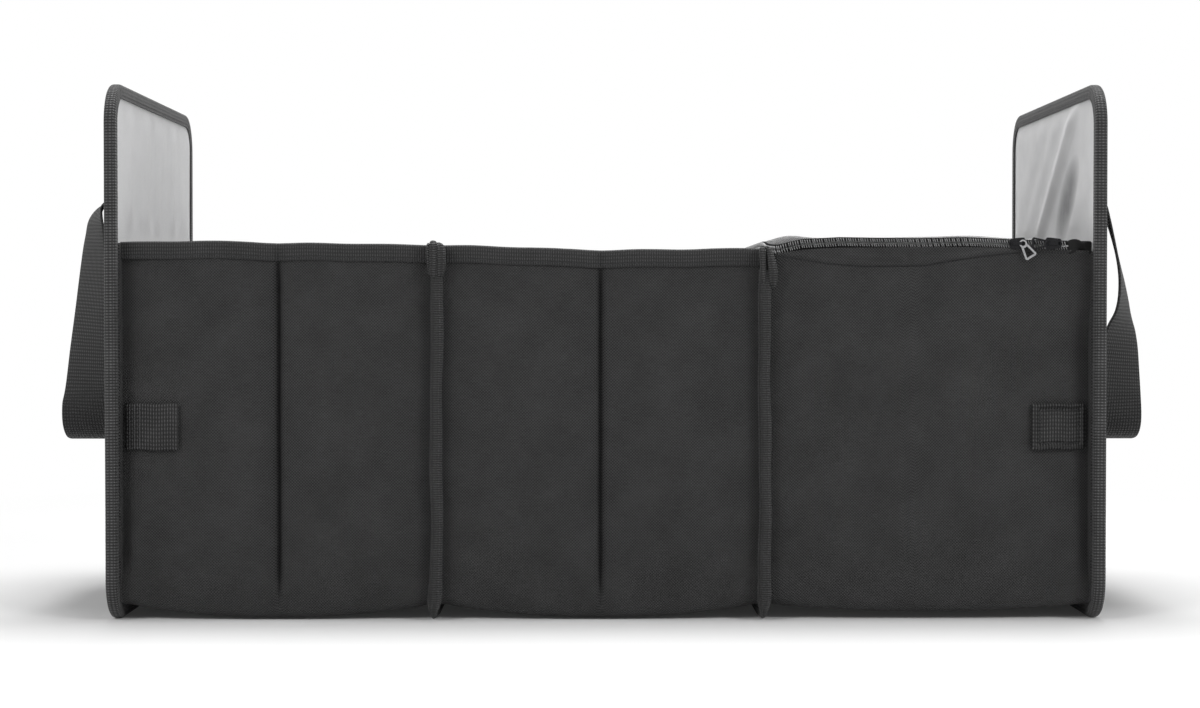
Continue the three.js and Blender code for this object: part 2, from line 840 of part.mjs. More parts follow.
// Zip: a tape and a coil on the walls, and a tape and a coil on the lid

const wallCoilHigh = zipLine - coilGap / 2;
const wallCoilLow = wallCoilHigh - coilWidth;
const lidCoilLow = zipLine + coilGap / 2;
const lidCoilHigh = lidCoilLow + coilWidth;
const coilOuter = -seat - coilThickness;

add('wall_zip_tape', zipStrip(0, tapeThickness, bayEnd, foamTop + seat, wallCoilHigh), blackTape);
add('wall_zip_coil', zipStrip(coilOuter, -seat, lidHingeX, wallCoilLow, wallCoilHigh), blackNylon);
add('lid_zip_tape', zipStrip(0, tapeThickness, lidHingeX, lidCoilLow, lidEdgeHeight), blackTape);
add('lid_zip_coil', zipStrip(coilOuter, -seat, lidHingeX, lidCoilLow, lidCoilHigh), blackNylon);

// Zip sliders: two plates on a post between the coils, a lip under the wall coil and a bridge for the
// pull. The channel is open towards the lid.

const tapeFaceY = -(wallPlane - boardOut);
const frontPlateInner = tapeFaceY + coilOuter - sliderClearance;
const frontPlateOuter = frontPlateInner - sliderPlate;
const backPlateInner = tapeFaceY + tapeThickness + sliderClearance;
const bridgeFootX = bridgeLength / 2 - bridgeFoot / 2;

// Corners of a slider plate as shares of its length and of half its height, from its foot to its head
const plateShape = [[-0.5, 0.6], [-0.42, 0.8], [0.2, 1], [0.42, 1], [0.5, 0.7]];

function sliderPlateOutline(head) {
  const upper = plateShape.map(([along, up]) => [head * along * sliderLength, (up * sliderHeight) / 2]);
  const lower = upper.map(([x, z]) => [x, -z]).reverse();
  return new THREE.Shape([...upper, ...lower].map(([x, z]) => new THREE.Vector2(x, z)));
}

function bridge() {
  const half = bridgeLength / 2;
  const high = bridgeOpening + bridgeThickness;
  const inner = half - bridgeFoot;
  const outline = new THREE.Shape();
  outline.moveTo(-half, -sliderPlate / 2);
  outline.lineTo(-half, high - bridgeFoot);
  outline.lineTo(-half + bridgeFoot, high);
  outline.lineTo(half - bridgeFoot, high);
  outline.lineTo(half, high - bridgeFoot);
  outline.lineTo(half, -sliderPlate / 2);
  outline.lineTo(inner, -sliderPlate / 2);
  outline.lineTo(inner, bridgeOpening);
  outline.lineTo(-inner, bridgeOpening);
  outline.lineTo(-inner, -sliderPlate / 2);
  const arch = new THREE.ExtrudeGeometry(outline, { depth: bridgeWidth, bevelEnabled: false });
  arch.translate(0, 0, -bridgeWidth / 2);
  arch.rotateX(Math.PI);
  return arch.translate(0, frontPlateOuter, 0);
}

function slider(head) {
  const front = new THREE.ExtrudeGeometry(sliderPlateOutline(head), {
    depth: sliderPlate,
    bevelEnabled: false,
  });
  front.rotateX(Math.PI / 2);
  front.translate(0, frontPlateInner, 0);
  const postEnd = head * (sliderLength / 2 - sliderPostInset);
  const postStart = postEnd - head * sliderPost;
  const post = boxBetween(
    [Math.min(postStart, postEnd), frontPlateInner - sliderPlate / 2, -sliderPostThickness / 2],
    [Math.max(postStart, postEnd), backPlateInner + sliderPlate / 2, sliderPostThickness / 2],
  );
  const back = boxBetween(
    [-sliderBackLength / 2, backPlateInner, -sliderBackHeight / 2],
    [sliderBackLength / 2, backPlateInner + sliderPlate, sliderPostThickness / 2],
  );
  const lipLow = -sliderHeight / 2 + sliderLipInset;
  const lip = boxBetween(
    [-sliderLipLength / 2, frontPlateInner - sliderPlate / 2, lipLow],
    [sliderLipLength / 2, tapeFaceY - sliderClearance, lipLow + sliderLipHeight],
  );
  let solid = toSolid(front);
  for (const piece of [post, back, lip, bridge()]) {
    solid = solid.add(toSolid(piece));
  }
  return toGeometry(solid);
}

function zipSlider(name, x, head) {
  const geometry = slider(head).translate(x, 0, zipLine);
  add(name, geometry, brightMetal);
}

zipSlider('zip_slider', zipSliderX, 1);
zipSlider('end_slider', endSliderX, -1);

// Pulls: a round eye on the foot of the bridge and an open frame that widens to its end

function pull() {
  const eye = new THREE.Shape();
  const outer = pullEyeRadius + pullRim;
  const neck = pullNeckWidth / 2;
  const end = pullEndWidth / 2;
  const start = Math.sqrt(outer * outer - neck * neck);
  const angle = Math.atan2(neck, start);
  eye.absarc(0, 0, outer, angle, 2 * Math.PI - angle);
  eye.lineTo(pullLength - pullRim, -end);
  eye.lineTo(pullLength, -end + pullRim);
  eye.lineTo(pullLength, end - pullRim);
  eye.lineTo(pullLength - pullRim, end);
  const hole = new THREE.Path();
  hole.absarc(0, 0, pullEyeRadius, 0, 2 * Math.PI);
  const window = new THREE.Path();
  const windowStart = outer + pullWindowGap;
  const windowEnd = pullLength - pullWindowWall;
  window.moveTo(windowStart, -neck + pullRim);
  window.lineTo(windowEnd, -end + pullWindowWall);
  window.lineTo(windowEnd, end - pullWindowWall);
  window.lineTo(windowStart, neck - pullRim);
  eye.holes.push(hole, window);
  const frame = new THREE.ExtrudeGeometry(eye, {
    depth: pullThickness,
    bevelEnabled: false,
    curveSegments: eyeSegments,
  });
  frame.translate(0, 0, -pullThickness / 2);
  return frame.rotateX(Math.PI / 2);
}

const pullY = frontPlateOuter - bridgeOpening / 2;
const hanging = pull().rotateY(THREE.MathUtils.degToRad(pullAngle));
add('zip_pull', hanging.translate(zipSliderX + bridgeFootX, pullY, zipLine), brightMetal);
const lying = pull().rotateY(Math.PI);
add('end_pull', lying.translate(endSliderX - bridgeFootX, pullY, zipLine), brightMetal);

export default organizer;
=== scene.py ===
# A collapsible fabric organizer for a car boot: two open bays and a zipped cooler bay between two
# tall stiff end panels. Lengths inside the sections are millimetres, and meshes are made in metres.
import math

import bmesh
import bpy
import numpy as np
from mathutils import Matrix, Vector


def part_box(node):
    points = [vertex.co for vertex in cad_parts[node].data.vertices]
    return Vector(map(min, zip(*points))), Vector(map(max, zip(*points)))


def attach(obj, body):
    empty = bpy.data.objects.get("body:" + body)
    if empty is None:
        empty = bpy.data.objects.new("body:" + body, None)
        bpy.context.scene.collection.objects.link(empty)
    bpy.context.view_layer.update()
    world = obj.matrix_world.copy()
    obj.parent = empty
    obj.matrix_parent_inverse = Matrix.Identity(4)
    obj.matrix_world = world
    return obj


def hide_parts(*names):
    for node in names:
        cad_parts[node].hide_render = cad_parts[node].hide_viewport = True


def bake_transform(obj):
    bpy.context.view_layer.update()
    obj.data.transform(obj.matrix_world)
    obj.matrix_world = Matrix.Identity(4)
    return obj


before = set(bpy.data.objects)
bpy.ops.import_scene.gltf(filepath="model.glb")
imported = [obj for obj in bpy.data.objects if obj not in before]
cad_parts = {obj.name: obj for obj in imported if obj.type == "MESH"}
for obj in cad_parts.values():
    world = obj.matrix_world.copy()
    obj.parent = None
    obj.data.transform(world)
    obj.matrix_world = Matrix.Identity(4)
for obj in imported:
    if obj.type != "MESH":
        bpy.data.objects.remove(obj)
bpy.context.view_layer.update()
MM = 0.001


# The view: a camera in front of the organizer, a little above its walls, turned slightly right.
# Its place and lens come from the perspective of the end panels.
def corners(node):
    low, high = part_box(node)
    return [c / MM for c in low], [c / MM for c in high]


panel_low, panel_high = corners("left_panel_binding")
front_y = panel_low[1]
camera_distance = 1533
camera_x = -13.5
camera_z = 210
turn_right = 0.35
look_down = 1.2
lens = 69.7

camera_data = bpy.data.cameras.new("camera")
camera_data.lens = lens
camera_data.sensor_width = 36
camera = bpy.data.objects.new("camera", camera_data)
camera.location = Vector((camera_x, front_y - camera_distance, camera_z)) * MM
camera.rotation_euler = (math.radians(90 - look_down), 0, math.radians(-turn_right))
bpy.context.scene.collection.objects.link(camera)
bpy.context.scene.camera = camera
bpy.context.scene.view_settings.view_transform = "Standard"


# Shader maths as plain expressions: a Value stands for a socket, and sums on it add Math nodes.
# A Finish is one material with its main shader.
class Value:
    def __init__(self, finish, socket):
        self.finish = finish
        self.socket = socket

    def math(self, operation, *others):
        return self.finish.node("ShaderNodeMath", {"operation": operation}, others)

    def __add__(self, other):
        return self.math("ADD", self, other)

    def __radd__(self, other):
        return self.math("ADD", other, self)

    def __sub__(self, other):
        return self.math("SUBTRACT", self, other)

    def __rsub__(self, other):
        return self.math("SUBTRACT", other, self)

    def __mul__(self, other):
        return self.math("MULTIPLY", self, other)

    def __rmul__(self, other):
        return self.math("MULTIPLY", other, self)

    def __truediv__(self, other):
        return self.math("DIVIDE", self, other)

    def sine(self):
        return self.math("SINE", self)

    def clamped(self):
        return self.finish.node("ShaderNodeClamp", {}, [self])


class Finish:
    def __init__(self, name, roughness=0.8, metallic=0.0, **constants):
        self.material = bpy.data.materials.new(name)
        self.material.use_nodes = True
        self.tree = self.material.node_tree
        self.tree.nodes.clear()
        self.output = self.tree.nodes.new("ShaderNodeOutputMaterial")
        self.shader = self.tree.nodes.new("ShaderNodeBsdfPrincipled")
        self.shader.inputs["Roughness"].default_value = roughness
        self.shader.inputs["Metallic"].default_value = metallic
        for socket, value in constants.items():
            self.shader.inputs[socket.replace("_", " ")].default_value = value
        self.tree.links.new(self.shader.outputs[0], self.output.inputs["Surface"])

    def node(self, kind, settings, inputs, output=0):
        node = self.tree.nodes.new(kind)
        for setting, value in settings.items():
            setattr(node, setting, value)
        pairs = inputs.items() if isinstance(inputs, dict) else enumerate(inputs)
        for key, value in pairs:
            if isinstance(value, Value):
                self.tree.links.new(value.socket, node.inputs[key])
            else:
                node.inputs[key].default_value = value
        return Value(self, node.outputs[output])

    def set(self, socket, value):
        self.tree.links.new(value.socket, self.shader.inputs[socket])

    def colour(self, factor, low, high):
        low, high = (tone if isinstance(tone, Value) else (*tone, 1) for tone in (low, high))
        return self.node("ShaderNodeMix", {"data_type": "RGBA"}, {0: factor, 6: low, 7: high}, 2)

    def threads(self):
        place = self.node("ShaderNodeAttribute", {"attribute_name": "weave"}, [], "Vector")
        split = self.node("ShaderNodeSeparateXYZ", {}, [place])
        return place, split, Value(self, split.socket.node.outputs[1])

    def noise(self, place, scale, detail=3):
        return self.node("ShaderNodeTexNoise", {}, {"Vector": place, "Scale": scale, "Detail": detail}, "Fac")

    def stretched(self, place, across, along):
        return self.node("ShaderNodeVectorMath", {"operation": "MULTIPLY"}, [place, (across, along, 1)])

    def bump(self, height, distance, strength=1.0):
        values = {"Strength": strength, "Distance": distance * MM, "Height": height}
        self.set("Normal", self.node("ShaderNodeBump", {}, values))


# The studio: a pale floor that keeps the shadow near the organizer and that the camera sees as
# white further out, a pale world that the camera sees as white, and three soft lamps.
def seen_directly(finish):
    rays = [finish.node("ShaderNodeLightPath", {}, [], name) for name in (
        "Is Camera Ray", "Is Glossy Ray", "Is Transmission Ray")]
    return rays[0].math("MAXIMUM", rays[0], rays[1].math("MAXIMUM", rays[1], rays[2]))


floor_size = 40
shadow_reach = 0.55
shadow_fade = 0.55
edge = floor_size / 2
floor_mesh = bpy.data.meshes.new("floor")
floor_mesh.from_pydata([(-edge, -edge, 0), (edge, -edge, 0), (edge, edge, 0), (-edge, edge, 0)],
                       [], [(0, 1, 2, 3)])
floor = bpy.data.objects.new("floor", floor_mesh)
bpy.context.scene.collection.objects.link(floor)
floor_finish = Finish("pale floor", roughness=0.9)
floor_finish.shader.inputs["Base Color"].default_value = (0.8, 0.8, 0.8, 1)
floor_finish.shader.inputs["Specular IOR Level"].default_value = 0.0
plain = Value(floor_finish, floor_finish.shader.outputs[0])
glow = floor_finish.node("ShaderNodeEmission", {}, {"Color": (1, 1, 1, 1), "Strength": 0.02})
lit = floor_finish.node("ShaderNodeAddShader", {}, [plain, glow])
bright = floor_finish.node("ShaderNodeEmission", {}, {"Color": (1, 1, 1, 1), "Strength": 1.0})
spot = floor_finish.node("ShaderNodeTexCoord", {}, [], "Object")
away = floor_finish.node("ShaderNodeVectorMath", {"operation": "LENGTH"}, [spot], "Value")
far = ((away - shadow_reach) / shadow_fade).clamped()
near_or_far = floor_finish.node("ShaderNodeMixShader", {}, [far, lit, bright])
shown = floor_finish.node("ShaderNodeMixShader", {}, [seen_directly(floor_finish), plain, near_or_far])
floor_finish.tree.links.new(shown.socket, floor_finish.output.inputs["Surface"])
floor_mesh.materials.append(floor_finish.material)

world = bpy.data.worlds.new("studio")
world.use_nodes = True
world.node_tree.nodes.clear()
world_nodes = world.node_tree.nodes
rays = world_nodes.new("ShaderNodeLightPath")
soft_light = world_nodes.new("ShaderNodeBackground")
soft_light.inputs["Strength"].default_value = 0.5
white = world_nodes.new("ShaderNodeBackground")
white.inputs["Color"].default_value = (1, 1, 1, 1)
either = world_nodes.new("ShaderNodeMixShader")
world_output = world_nodes.new("ShaderNodeOutputWorld")
shown = rays.outputs["Is Camera Ray"]
for ray in ("Is Glossy Ray", "Is Transmission Ray"):
    highest = world_nodes.new("ShaderNodeMath")
    highest.operation = "MAXIMUM"
    world.node_tree.links.new(shown, highest.inputs[0])
    world.node_tree.links.new(rays.outputs[ray], highest.inputs[1])
    shown = highest.outputs[0]
world.node_tree.links.new(shown, either.inputs[0])
world.node_tree.links.new(soft_light.outputs[0], either.inputs[1])
world.node_tree.links.new(white.outputs[0], either.inputs[2])
world.node_tree.links.new(either.outputs[0], world_output.inputs["Surface"])
bpy.context.scene.world = world


def soft_lamp(name, place, target, size, power):
    data = bpy.data.lights.new(name, "AREA")
    data.shape = "DISK"
    data.size = size
    data.energy = power
    lamp = bpy.data.objects.new(name, data)
    lamp.location = place
    lamp.rotation_euler = (Vector(target) - Vector(place)).to_track_quat("-Z", "Y").to_euler()
    bpy.context.scene.collection.objects.link(lamp)


soft_lamp("overhead lamp", (0.1, 0.35, 2.2), (0, 0.05, 0.1), 1.3, 42)
soft_lamp("left lamp", (-1.6, -2.0, 1.6), (0, 0, 0.2), 1.0, 24)
soft_lamp("right lamp", (1.9, -1.9, 1.5), (0, 0, 0.2), 1.0, 28)


# Bays: each is one U-shaped run of cloth, down the front, under the floor and up the back, that
# swells between its seams, sinks at its crease and hangs between its ends. Sheets are lofted from
# rings of points, and each point carries its place in the weave.
def make_piece(name, points, faces, weave, finish, sharp=40):
    mesh = bpy.data.meshes.new(name)
    mesh.from_pydata((np.asarray(points, float) * MM).tolist(), [], faces)
    place = mesh.attributes.new("weave", "FLOAT_VECTOR", "POINT")
    place.data.foreach_set("vector", np.asarray(weave, float).ravel())
    work = bmesh.new()
    work.from_mesh(mesh)
    bmesh.ops.recalc_face_normals(work, faces=work.faces)
    work.to_mesh(mesh)
    work.free()
    mesh.shade_smooth()
    mesh.set_sharp_from_angle(angle=math.radians(sharp))
    mesh.materials.append(finish.material)
    piece = bpy.data.objects.new(name, mesh)
    bpy.context.scene.collection.objects.link(piece)
    return piece


def loft_faces(rings, around, closed=False, first=0):
    faces = []
    for r in range(rings if closed else rings - 1):
        here = first + r * around
        there = first + ((r + 1) % rings) * around
        for i in range(around):
            j = (i + 1) % around
            faces.append((here + i, here + j, there + j, there + i))
    if not closed:
        faces.append(tuple(range(first, first + around)))
        faces.append(tuple(range(first + (rings - 1) * around, first + rings * around)))
    return faces


def loft_piece(name, rings, weave, finish, closed=False, sharp=40):
    rings = np.asarray(rings, float)
    count, around = rings.shape[:2]
    weave = np.asarray(weave, float).reshape(-1, 3)
    return make_piece(name, rings.reshape(-1, 3), loft_faces(count, around, closed), weave, finish, sharp)


def clamp01(value):
    return np.clip(value, 0, 1)


def smooth(low, high, value):
    share = clamp01((value - low) / (high - low))
    return share * share * (3 - 2 * share)


def between(value, rise_from, rise_to, fall_from, fall_to):
    return smooth(rise_from, rise_to, value) * (1 - smooth(fall_from, fall_to, value))


def bell(distance, width):
    return np.exp(-((distance / width) ** 2))


cloth_thickness = 1
seat = 0.3
binding_thickness = 1
binding_wrap = binding_thickness + seat
board_depth = cloth_thickness + seat
board_thickness = 2
lining_depth = board_depth + board_thickness + seat
lining_thickness = 0.8
lining_back = lining_depth + lining_thickness
fold_radius = 10
top_binding_width = 11.7
seam_flat = 7
end_lift = 9.8
crease_sink = 7.5
crease_half_width = 2.3
shoulder_sink = 1.8
shoulder_half_width = 12
beyond_open_seams = 300

# Rows of points below a wall's top edge and across its crease, close where the cloth turns sharply.
edge_rows = np.array([0, 0.4, 1.0, 1.8, 2.8, 3.8, 4.6, 5.2, 5.8, 6.6, 8.0, 10.0])
seam_rows = np.array([-0.9, -0.45, -0.15, 0.1])
below_seam_rows = np.array([0.4, 0.8, 1.4, 2.4, 4.0])
crease_rows = np.array([-1.6, -1.1, -0.7, -0.35, 0, 0.35, 0.7, 1.1, 1.6])

divider_low, divider_high = corners("left_divider")
wall_plane = -divider_low[1] + board_depth
wall_top = corners("middle_bay_front_top_binding")[1][2]


class Bay:
    def __init__(self, name, swell, clearance, edge_line, creased=True):
        low, high = corners(f"{name}_shell")
        self.start, self.end = low[0], high[0]
        self.swell = swell
        self.clearance = clearance
        self.edge_line = list(zip(*edge_line))
        self.creased = creased
        self.crease = (self.start + self.end) / 2

    def share(self, x, inset=0):
        return clamp01((x - self.start - inset) / (self.end - self.start - 2 * inset))

    def edge(self, x):
        dip = 0.8 * bell(x - self.crease, 17) if self.creased else 0
        return np.interp(x, *self.edge_line) - dip

    def bottom(self, x):
        hang = np.sin(np.pi * self.share(x, seam_flat)) ** 0.7
        return end_lift + (self.clearance - end_lift) * hang

    def across(self, x):
        share = self.share(x, seam_flat)
        if not self.creased:
            return self.swell * np.sin(np.pi * share)
        half = np.where(share < 0.5, share * 2, share * 2 - 1)
        return self.swell * np.sin(np.pi * half)

    def fold_top(self, x):
        return self.bottom(x) + fold_radius

    def relief(self, x, z):
        low, high = self.fold_top(x), self.edge(x) - top_binding_width
        up = clamp01((z - low) / (high - low))
        body = self.across(x) * np.sin(np.pi * up)
        calm = np.sin(np.pi * self.share(x)) ** 0.5
        ripple = 0.35 * np.sin(0.061 * x + 0.043 * z + self.crease) + 0.25 * np.sin(0.097 * x - 0.071 * z)
        body += calm * (ripple + 0.35)
        for corner, way in ((self.start, 1), (self.end, -1)):
            at_panel = abs(corner) > beyond_open_seams
            pucker_size, hollow_size, slack_size = (2.8, 5.5, 1.3) if at_panel else (2.0, 0.8, 0.4)
            reach = way * (x - corner)
            slope = reach * 0.55 + (z - low)
            pucker = bell(slope - 34, 7) + 0.6 * bell(slope - 58, 9)
            body += pucker_size * pucker * between(reach, 2, 16, 40, 85)
            hollow_width = 5 + (9 * up if at_panel else 4)
            held = 1 if self.creased else 1 - smooth(0.78, 0.92, up)
            body -= hollow_size * held * bell(reach, hollow_width) * smooth(0.02, 0.1, up)
            slack = bell(reach - 26, 9) * smooth(150, 40, z) * smooth(10, 40, z)
            body -= slack_size * slack
        if self.creased:
            off = np.abs(x - self.crease)
            sink = crease_sink * bell(off, crease_half_width) + shoulder_sink * bell(off, shoulder_half_width)
            body -= sink * (0.35 + 0.65 * smooth(0.0, 0.1, up)) * (1 - 0.5 * smooth(0.95, 1.0, up))
        else:
            body += self.hem(x, self.edge(x) - z)
        return body

    def hem(self, x, down):
        """The cooler's top band: folded down from the zip to a wavy seam, gathered, with two pleats."""
        calm = np.sin(np.pi * self.share(x)) ** 0.3
        above = np.interp(x, hem_x, hem_wide) - down
        folded = smooth(-0.1, 0.3, above)
        turned = folded * (0.5 + 0.9 * bell(above - 2.2, 1.6))
        stitched = -0.9 * bell(above, 0.55)
        gather = 0.35 * np.sin(x * 0.62 + 0.6 * np.sin(x * 0.13)) * bell(above, 5)
        ledge = 0.8 * folded * bell(above - 6.2 + 0.04 * (x - 170), 1.5) * between(x, 135, 160, 225, 240)
        pleats = 0.0
        for middle, lean, size in ((198, 0.5, 1.8), (201.5, 0.1, -1.6), (206, -0.5, 1.6), (210.5, -0.6, -1.0)):
            pleats += size * bell(x - middle + lean * (above - 4), 1.7)
        pleats *= folded * bell(above - 4.5, 3.8)
        drag = 0.8 * bell(down - 30 + 0.22 * (x - 190), 8) * between(x, 140, 180, 270, 300)
        return calm * (turned + stitched + gather + ledge + pleats + drag)

    def half_section(self, x, behind, top, steps=46, fold_steps=5, floor_steps=8):
        near = edge_rows
        if not self.creased:
            wide = float(np.interp(x, hem_x, hem_wide))
            beside = min(1, wide / 6) * seam_rows
            near = np.concatenate([wide * np.linspace(0, 0.8, 12), wide + beside, wide + below_seam_rows])
        heights = np.concatenate([top - near, np.linspace(top - near[-1] - 3, self.fold_top(x), steps)])
        wall = [(-(wall_plane - behind) - self.relief(x, z), z) for z in heights]
        radius = fold_radius - behind
        middle = self.bottom(x) + fold_radius
        turns = np.linspace(0, np.pi / 2, fold_steps + 1)[1:]
        fold_y = -(wall_plane - fold_radius)
        fold = [(fold_y - radius * math.cos(t), middle - radius * math.sin(t)) for t in turns]
        floor_line = [(y, middle - radius) for y in np.linspace(fold_y, 0, floor_steps + 1)[1:]]
        return wall + fold + floor_line

    def section(self, x, behind, top, **steps):
        front = self.half_section(x, behind, top, **steps)
        return front + [(-y, z) for y, z in reversed(front[:-1])]

    def stations(self, low, high, step=2.6):
        xs = np.linspace(low, high, int((high - low) / step) + 1)
        if self.creased:
            near = self.crease + crease_half_width * crease_rows
            xs = xs[np.abs(xs - self.crease) > 1.9 * crease_half_width]
            xs = np.sort(np.concatenate([xs, near[(near > low) & (near < high)]]))
        return xs


def run_length(line):
    line = np.asarray(line)
    steps = np.linalg.norm(np.diff(line, axis=0), axis=1)
    return np.concatenate([[0], np.cumsum(steps)])


def folded_cloth(name, bay, low, high, outer, inner, top, finish, slot, **steps):
    rings, weave = [], []
    for x in bay.stations(low, high):
        faces = [bay.section(x, behind, top(x), **steps) for behind in (outer, inner)]
        ring = faces[0] + faces[1][::-1]
        along = run_length(faces[0])
        rings.append([(x, y, z) for y, z in ring])
        weave.append([(x, v, 0) for v in (*along, *along[::-1])])
    return loft_piece(name, rings, weave, finish, sharp=50)


def woven(name, dark, light, pitch, depth, slub=0.5, **constants):
    finish = Finish(name, **constants)
    place, u, v = finish.threads()
    over = (u * (math.pi / pitch)).sine() * (v * (math.pi / pitch)).sine()
    warp = finish.noise(finish.stretched(place, 1.6, 0.12), 1.0)
    weft = finish.noise(finish.stretched(place, 0.12, 1.6), 1.0)
    broad = finish.noise(place, 0.035)
    tone = 0.42 + over * 0.4 + (warp + weft - 1.0) * slub + (broad - 0.5) * 0.5
    finish.set("Base Color", finish.colour(tone.clamped(), dark, light))
    finish.set("Roughness", (0.78 + (warp - 0.5) * 0.3).clamped())
    finish.bump(over + (warp + weft) * 1.2, depth)
    return finish


cloth_finish = woven("black woven polyester", (0.0, 0.0, 0.0), (0.076, 0.076, 0.077), 1.0, 0.9,
                     Sheen_Weight=0.05, Specular_IOR_Level=0.35)
lining_finish = woven("light grey lining", (0.56, 0.56, 0.565), (0.72, 0.72, 0.725), 0.5, 0.07, slub=0.35,
                      Sheen_Weight=0.1, Specular_IOR_Level=0.3)

left_edge = [(-323, 252.0), (-298, 252.6), (-270, 252.8), (-235, 252.6), (-208, 251.8), (-185, 251.5),
             (-150, 250.7), (-115, 250.2)]
middle_edge = [(-110, 250.1), (-90, 249.8), (-70, 249.1), (-50, 248.6), (-28, 247.6), (-5, 247.6),
               (29, 247.2), (49, 247.3), (69, 247.8), (103, 248.0)]
left_bay = Bay("left_bay", 5, 0.8, left_edge)
middle_bay = Bay("middle_bay", 5, 0.8, middle_edge)
# The cooler's edge and the width of its turned hem: place along the wall, height and width.
hem_line = [(105, 243.0, 1.5), (112, 243.8, 1.6), (121, 245.6, 4.0), (130, 246.9, 6.7), (146, 248.0, 10.2),
            (162, 248.4, 12.0), (177, 248.5, 12.7), (211, 248.9, 12.5), (232, 248.9, 9.0),
            (253, 248.6, 5.6), (278, 247.6, 2.2), (323, 246.4, 1.6)]
hem_x, hem_z, hem_wide = zip(*hem_line)
cooler = Bay("cooler", 3, 4.5, list(zip(hem_x, hem_z)), creased=False)

for bay, name, shell_cut, lining_cut in ((left_bay, "left_bay", (0.210, 0.785), (0.208, 0.774)),
                                         (middle_bay, "middle_bay", (0.217, 0.777), (0.213, 0.765))):
    top = lambda x, bay=bay: bay.edge(x) - binding_wrap
    cloth = folded_cloth(f"{name}_cloth", bay, bay.start, bay.end, 0, cloth_thickness, top,
                         cloth_finish, "cloth")
    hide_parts(f"{name}_shell")
    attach(cloth, "root")
    low, high = corners(f"{name}_lining")
    lining = folded_cloth(f"{name}_inner_cloth", bay, low[0], high[0], lining_depth, lining_back, top,
                          lining_finish, "lining", steps=24, floor_steps=5)
    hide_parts(f"{name}_lining")
    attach(lining, "root")


# Wall boards: grey pressed board behind the cloth of the open bays, two to a wall, so that each wall
# can fold at its crease.
board_finish = Finish("grey pressed board", roughness=0.9)
place = board_finish.threads()[0]
fibres = board_finish.noise(board_finish.stretched(place, 0.1, 0.6), 1.0, 4)
board_finish.set("Base Color", board_finish.colour(fibres, (0.11, 0.10, 0.085), (0.20, 0.185, 0.16)))
board_finish.bump(fibres, 0.2)

for bay, name in ((left_bay, "left_bay"), (middle_bay, "middle_bay")):
    for place, side in (("front", -1), ("back", 1)):
        for node in (f"{name}_{place}_board_1", f"{name}_{place}_board_2"):
            low, high = corners(node)
            rings, weave = [], []
            for x in bay.stations(low[0], high[0], 6):
                heights = np.linspace(bay.edge(x) - binding_wrap, bay.fold_top(x), 30)
                ring = []
                for depth, row in ((board_depth, heights), (board_depth + board_thickness, heights[::-1])):
                    ring += [(x, side * (wall_plane - depth + bay.relief(x, z)), z) for z in row]
                rings.append(ring)
                weave.append([(x, z, 0) for x, y, z in ring])
            board = loft_piece(f"{node}_sheet", rings, weave, board_finish)
            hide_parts(node)
            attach(board, "root")


# Binding tape: black ribbed tape folded over every raw edge and sewn through with one row of
# stitches. The top edges of the open bays and of the first divider have it.
def ribbed(name, dark, light, along, across, depth, **constants):
    finish = Finish(name, **constants)
    place, u, v = finish.threads()
    rows = (v * (2 * math.pi / along)).sine()
    cords = (u * (2 * math.pi / across)).sine()
    knots = (rows * 0.5 + 0.5) * (cords * 0.35 + 0.65)
    fuzz = finish.noise(place, 1.7)
    broad = finish.noise(place, 0.05)
    tone = knots * 0.9 - 0.12 + (fuzz - 0.5) * 0.7 + (broad - 0.5) * 0.4
    finish.set("Base Color", finish.colour(tone.clamped(), dark, light))
    finish.set("Roughness", (0.7 - knots * 0.12).clamped())
    finish.bump(knots + fuzz * 0.4, depth)
    return finish


tape_finish = ribbed("black binding tape", (0.0, 0.0, 0.0), (0.050, 0.050, 0.051), 1.6, 2.4, 0.5,
                     Sheen_Weight=0.1, Specular_IOR_Level=0.4)
thread_finish = woven("black thread", (0.012, 0.012, 0.013), (0.05, 0.05, 0.055), 0.3, 0.1)


def hairpin_ring(width, height, thickness, steps=5):
    """A tape folded over an edge: a hairpin outline in (across, down), rounded at its fold."""
    outer = width / 2
    inner = outer - thickness
    radius = min(outer, 2.2)
    flat = outer - radius
    turns = np.linspace(0, np.pi, 2 * steps + 1)
    arch = [(-outer, height), (-outer, height * 0.5), (-outer, radius)]
    arch += [(-flat - radius * math.cos(t), radius - radius * math.sin(t)) for t in turns[1:steps]]
    arch += [(-flat, 0), (flat, 0)]
    arch += [(flat - radius * math.cos(t), radius - radius * math.sin(t)) for t in turns[steps + 1:-1]]
    arch += [(outer, radius), (outer, height * 0.5), (outer, height)]
    return arch + [(inner, height), (inner, thickness), (-inner, thickness), (-inner, height)]


stitch_ends = ((0.0, 0.35), (0.2, 1), (0.8, 1), (1.0, 0.35))
no_stitch_way = (0.31, 0.17, 0.93)


def stitches(name, lines, finish, pitch=2.9, length=2.1, radius=0.32, sides=5):
    """Rows of short rods of thread, each tapered at its ends, along lines of points."""
    points, faces, weave = [], [], []
    for line in lines:
        line = np.asarray(line, float)
        along = run_length(line)
        for s in np.arange(pitch / 2, along[-1] - pitch / 2, pitch):
            start, end = (np.array([np.interp(s + half, along, line[:, k]) for k in range(3)])
                          for half in (-length / 2, length / 2))
            way = (end - start) / max(np.linalg.norm(end - start), 1e-6)
            side = np.cross(way, no_stitch_way)
            side /= np.linalg.norm(side)
            other = np.cross(way, side)
            first = len(points)
            for share, size in stitch_ends:
                middle = start + (end - start) * share
                for t in np.arange(sides) * 2 * math.pi / sides:
                    points.append(middle + radius * size * (side * math.cos(t) + other * math.sin(t)))
                    weave.append((s + share * length, t * radius, 0))
            faces += loft_faces(len(stitch_ends), sides, first=first)
    return make_piece(name, points, faces, weave, finish, sharp=80)


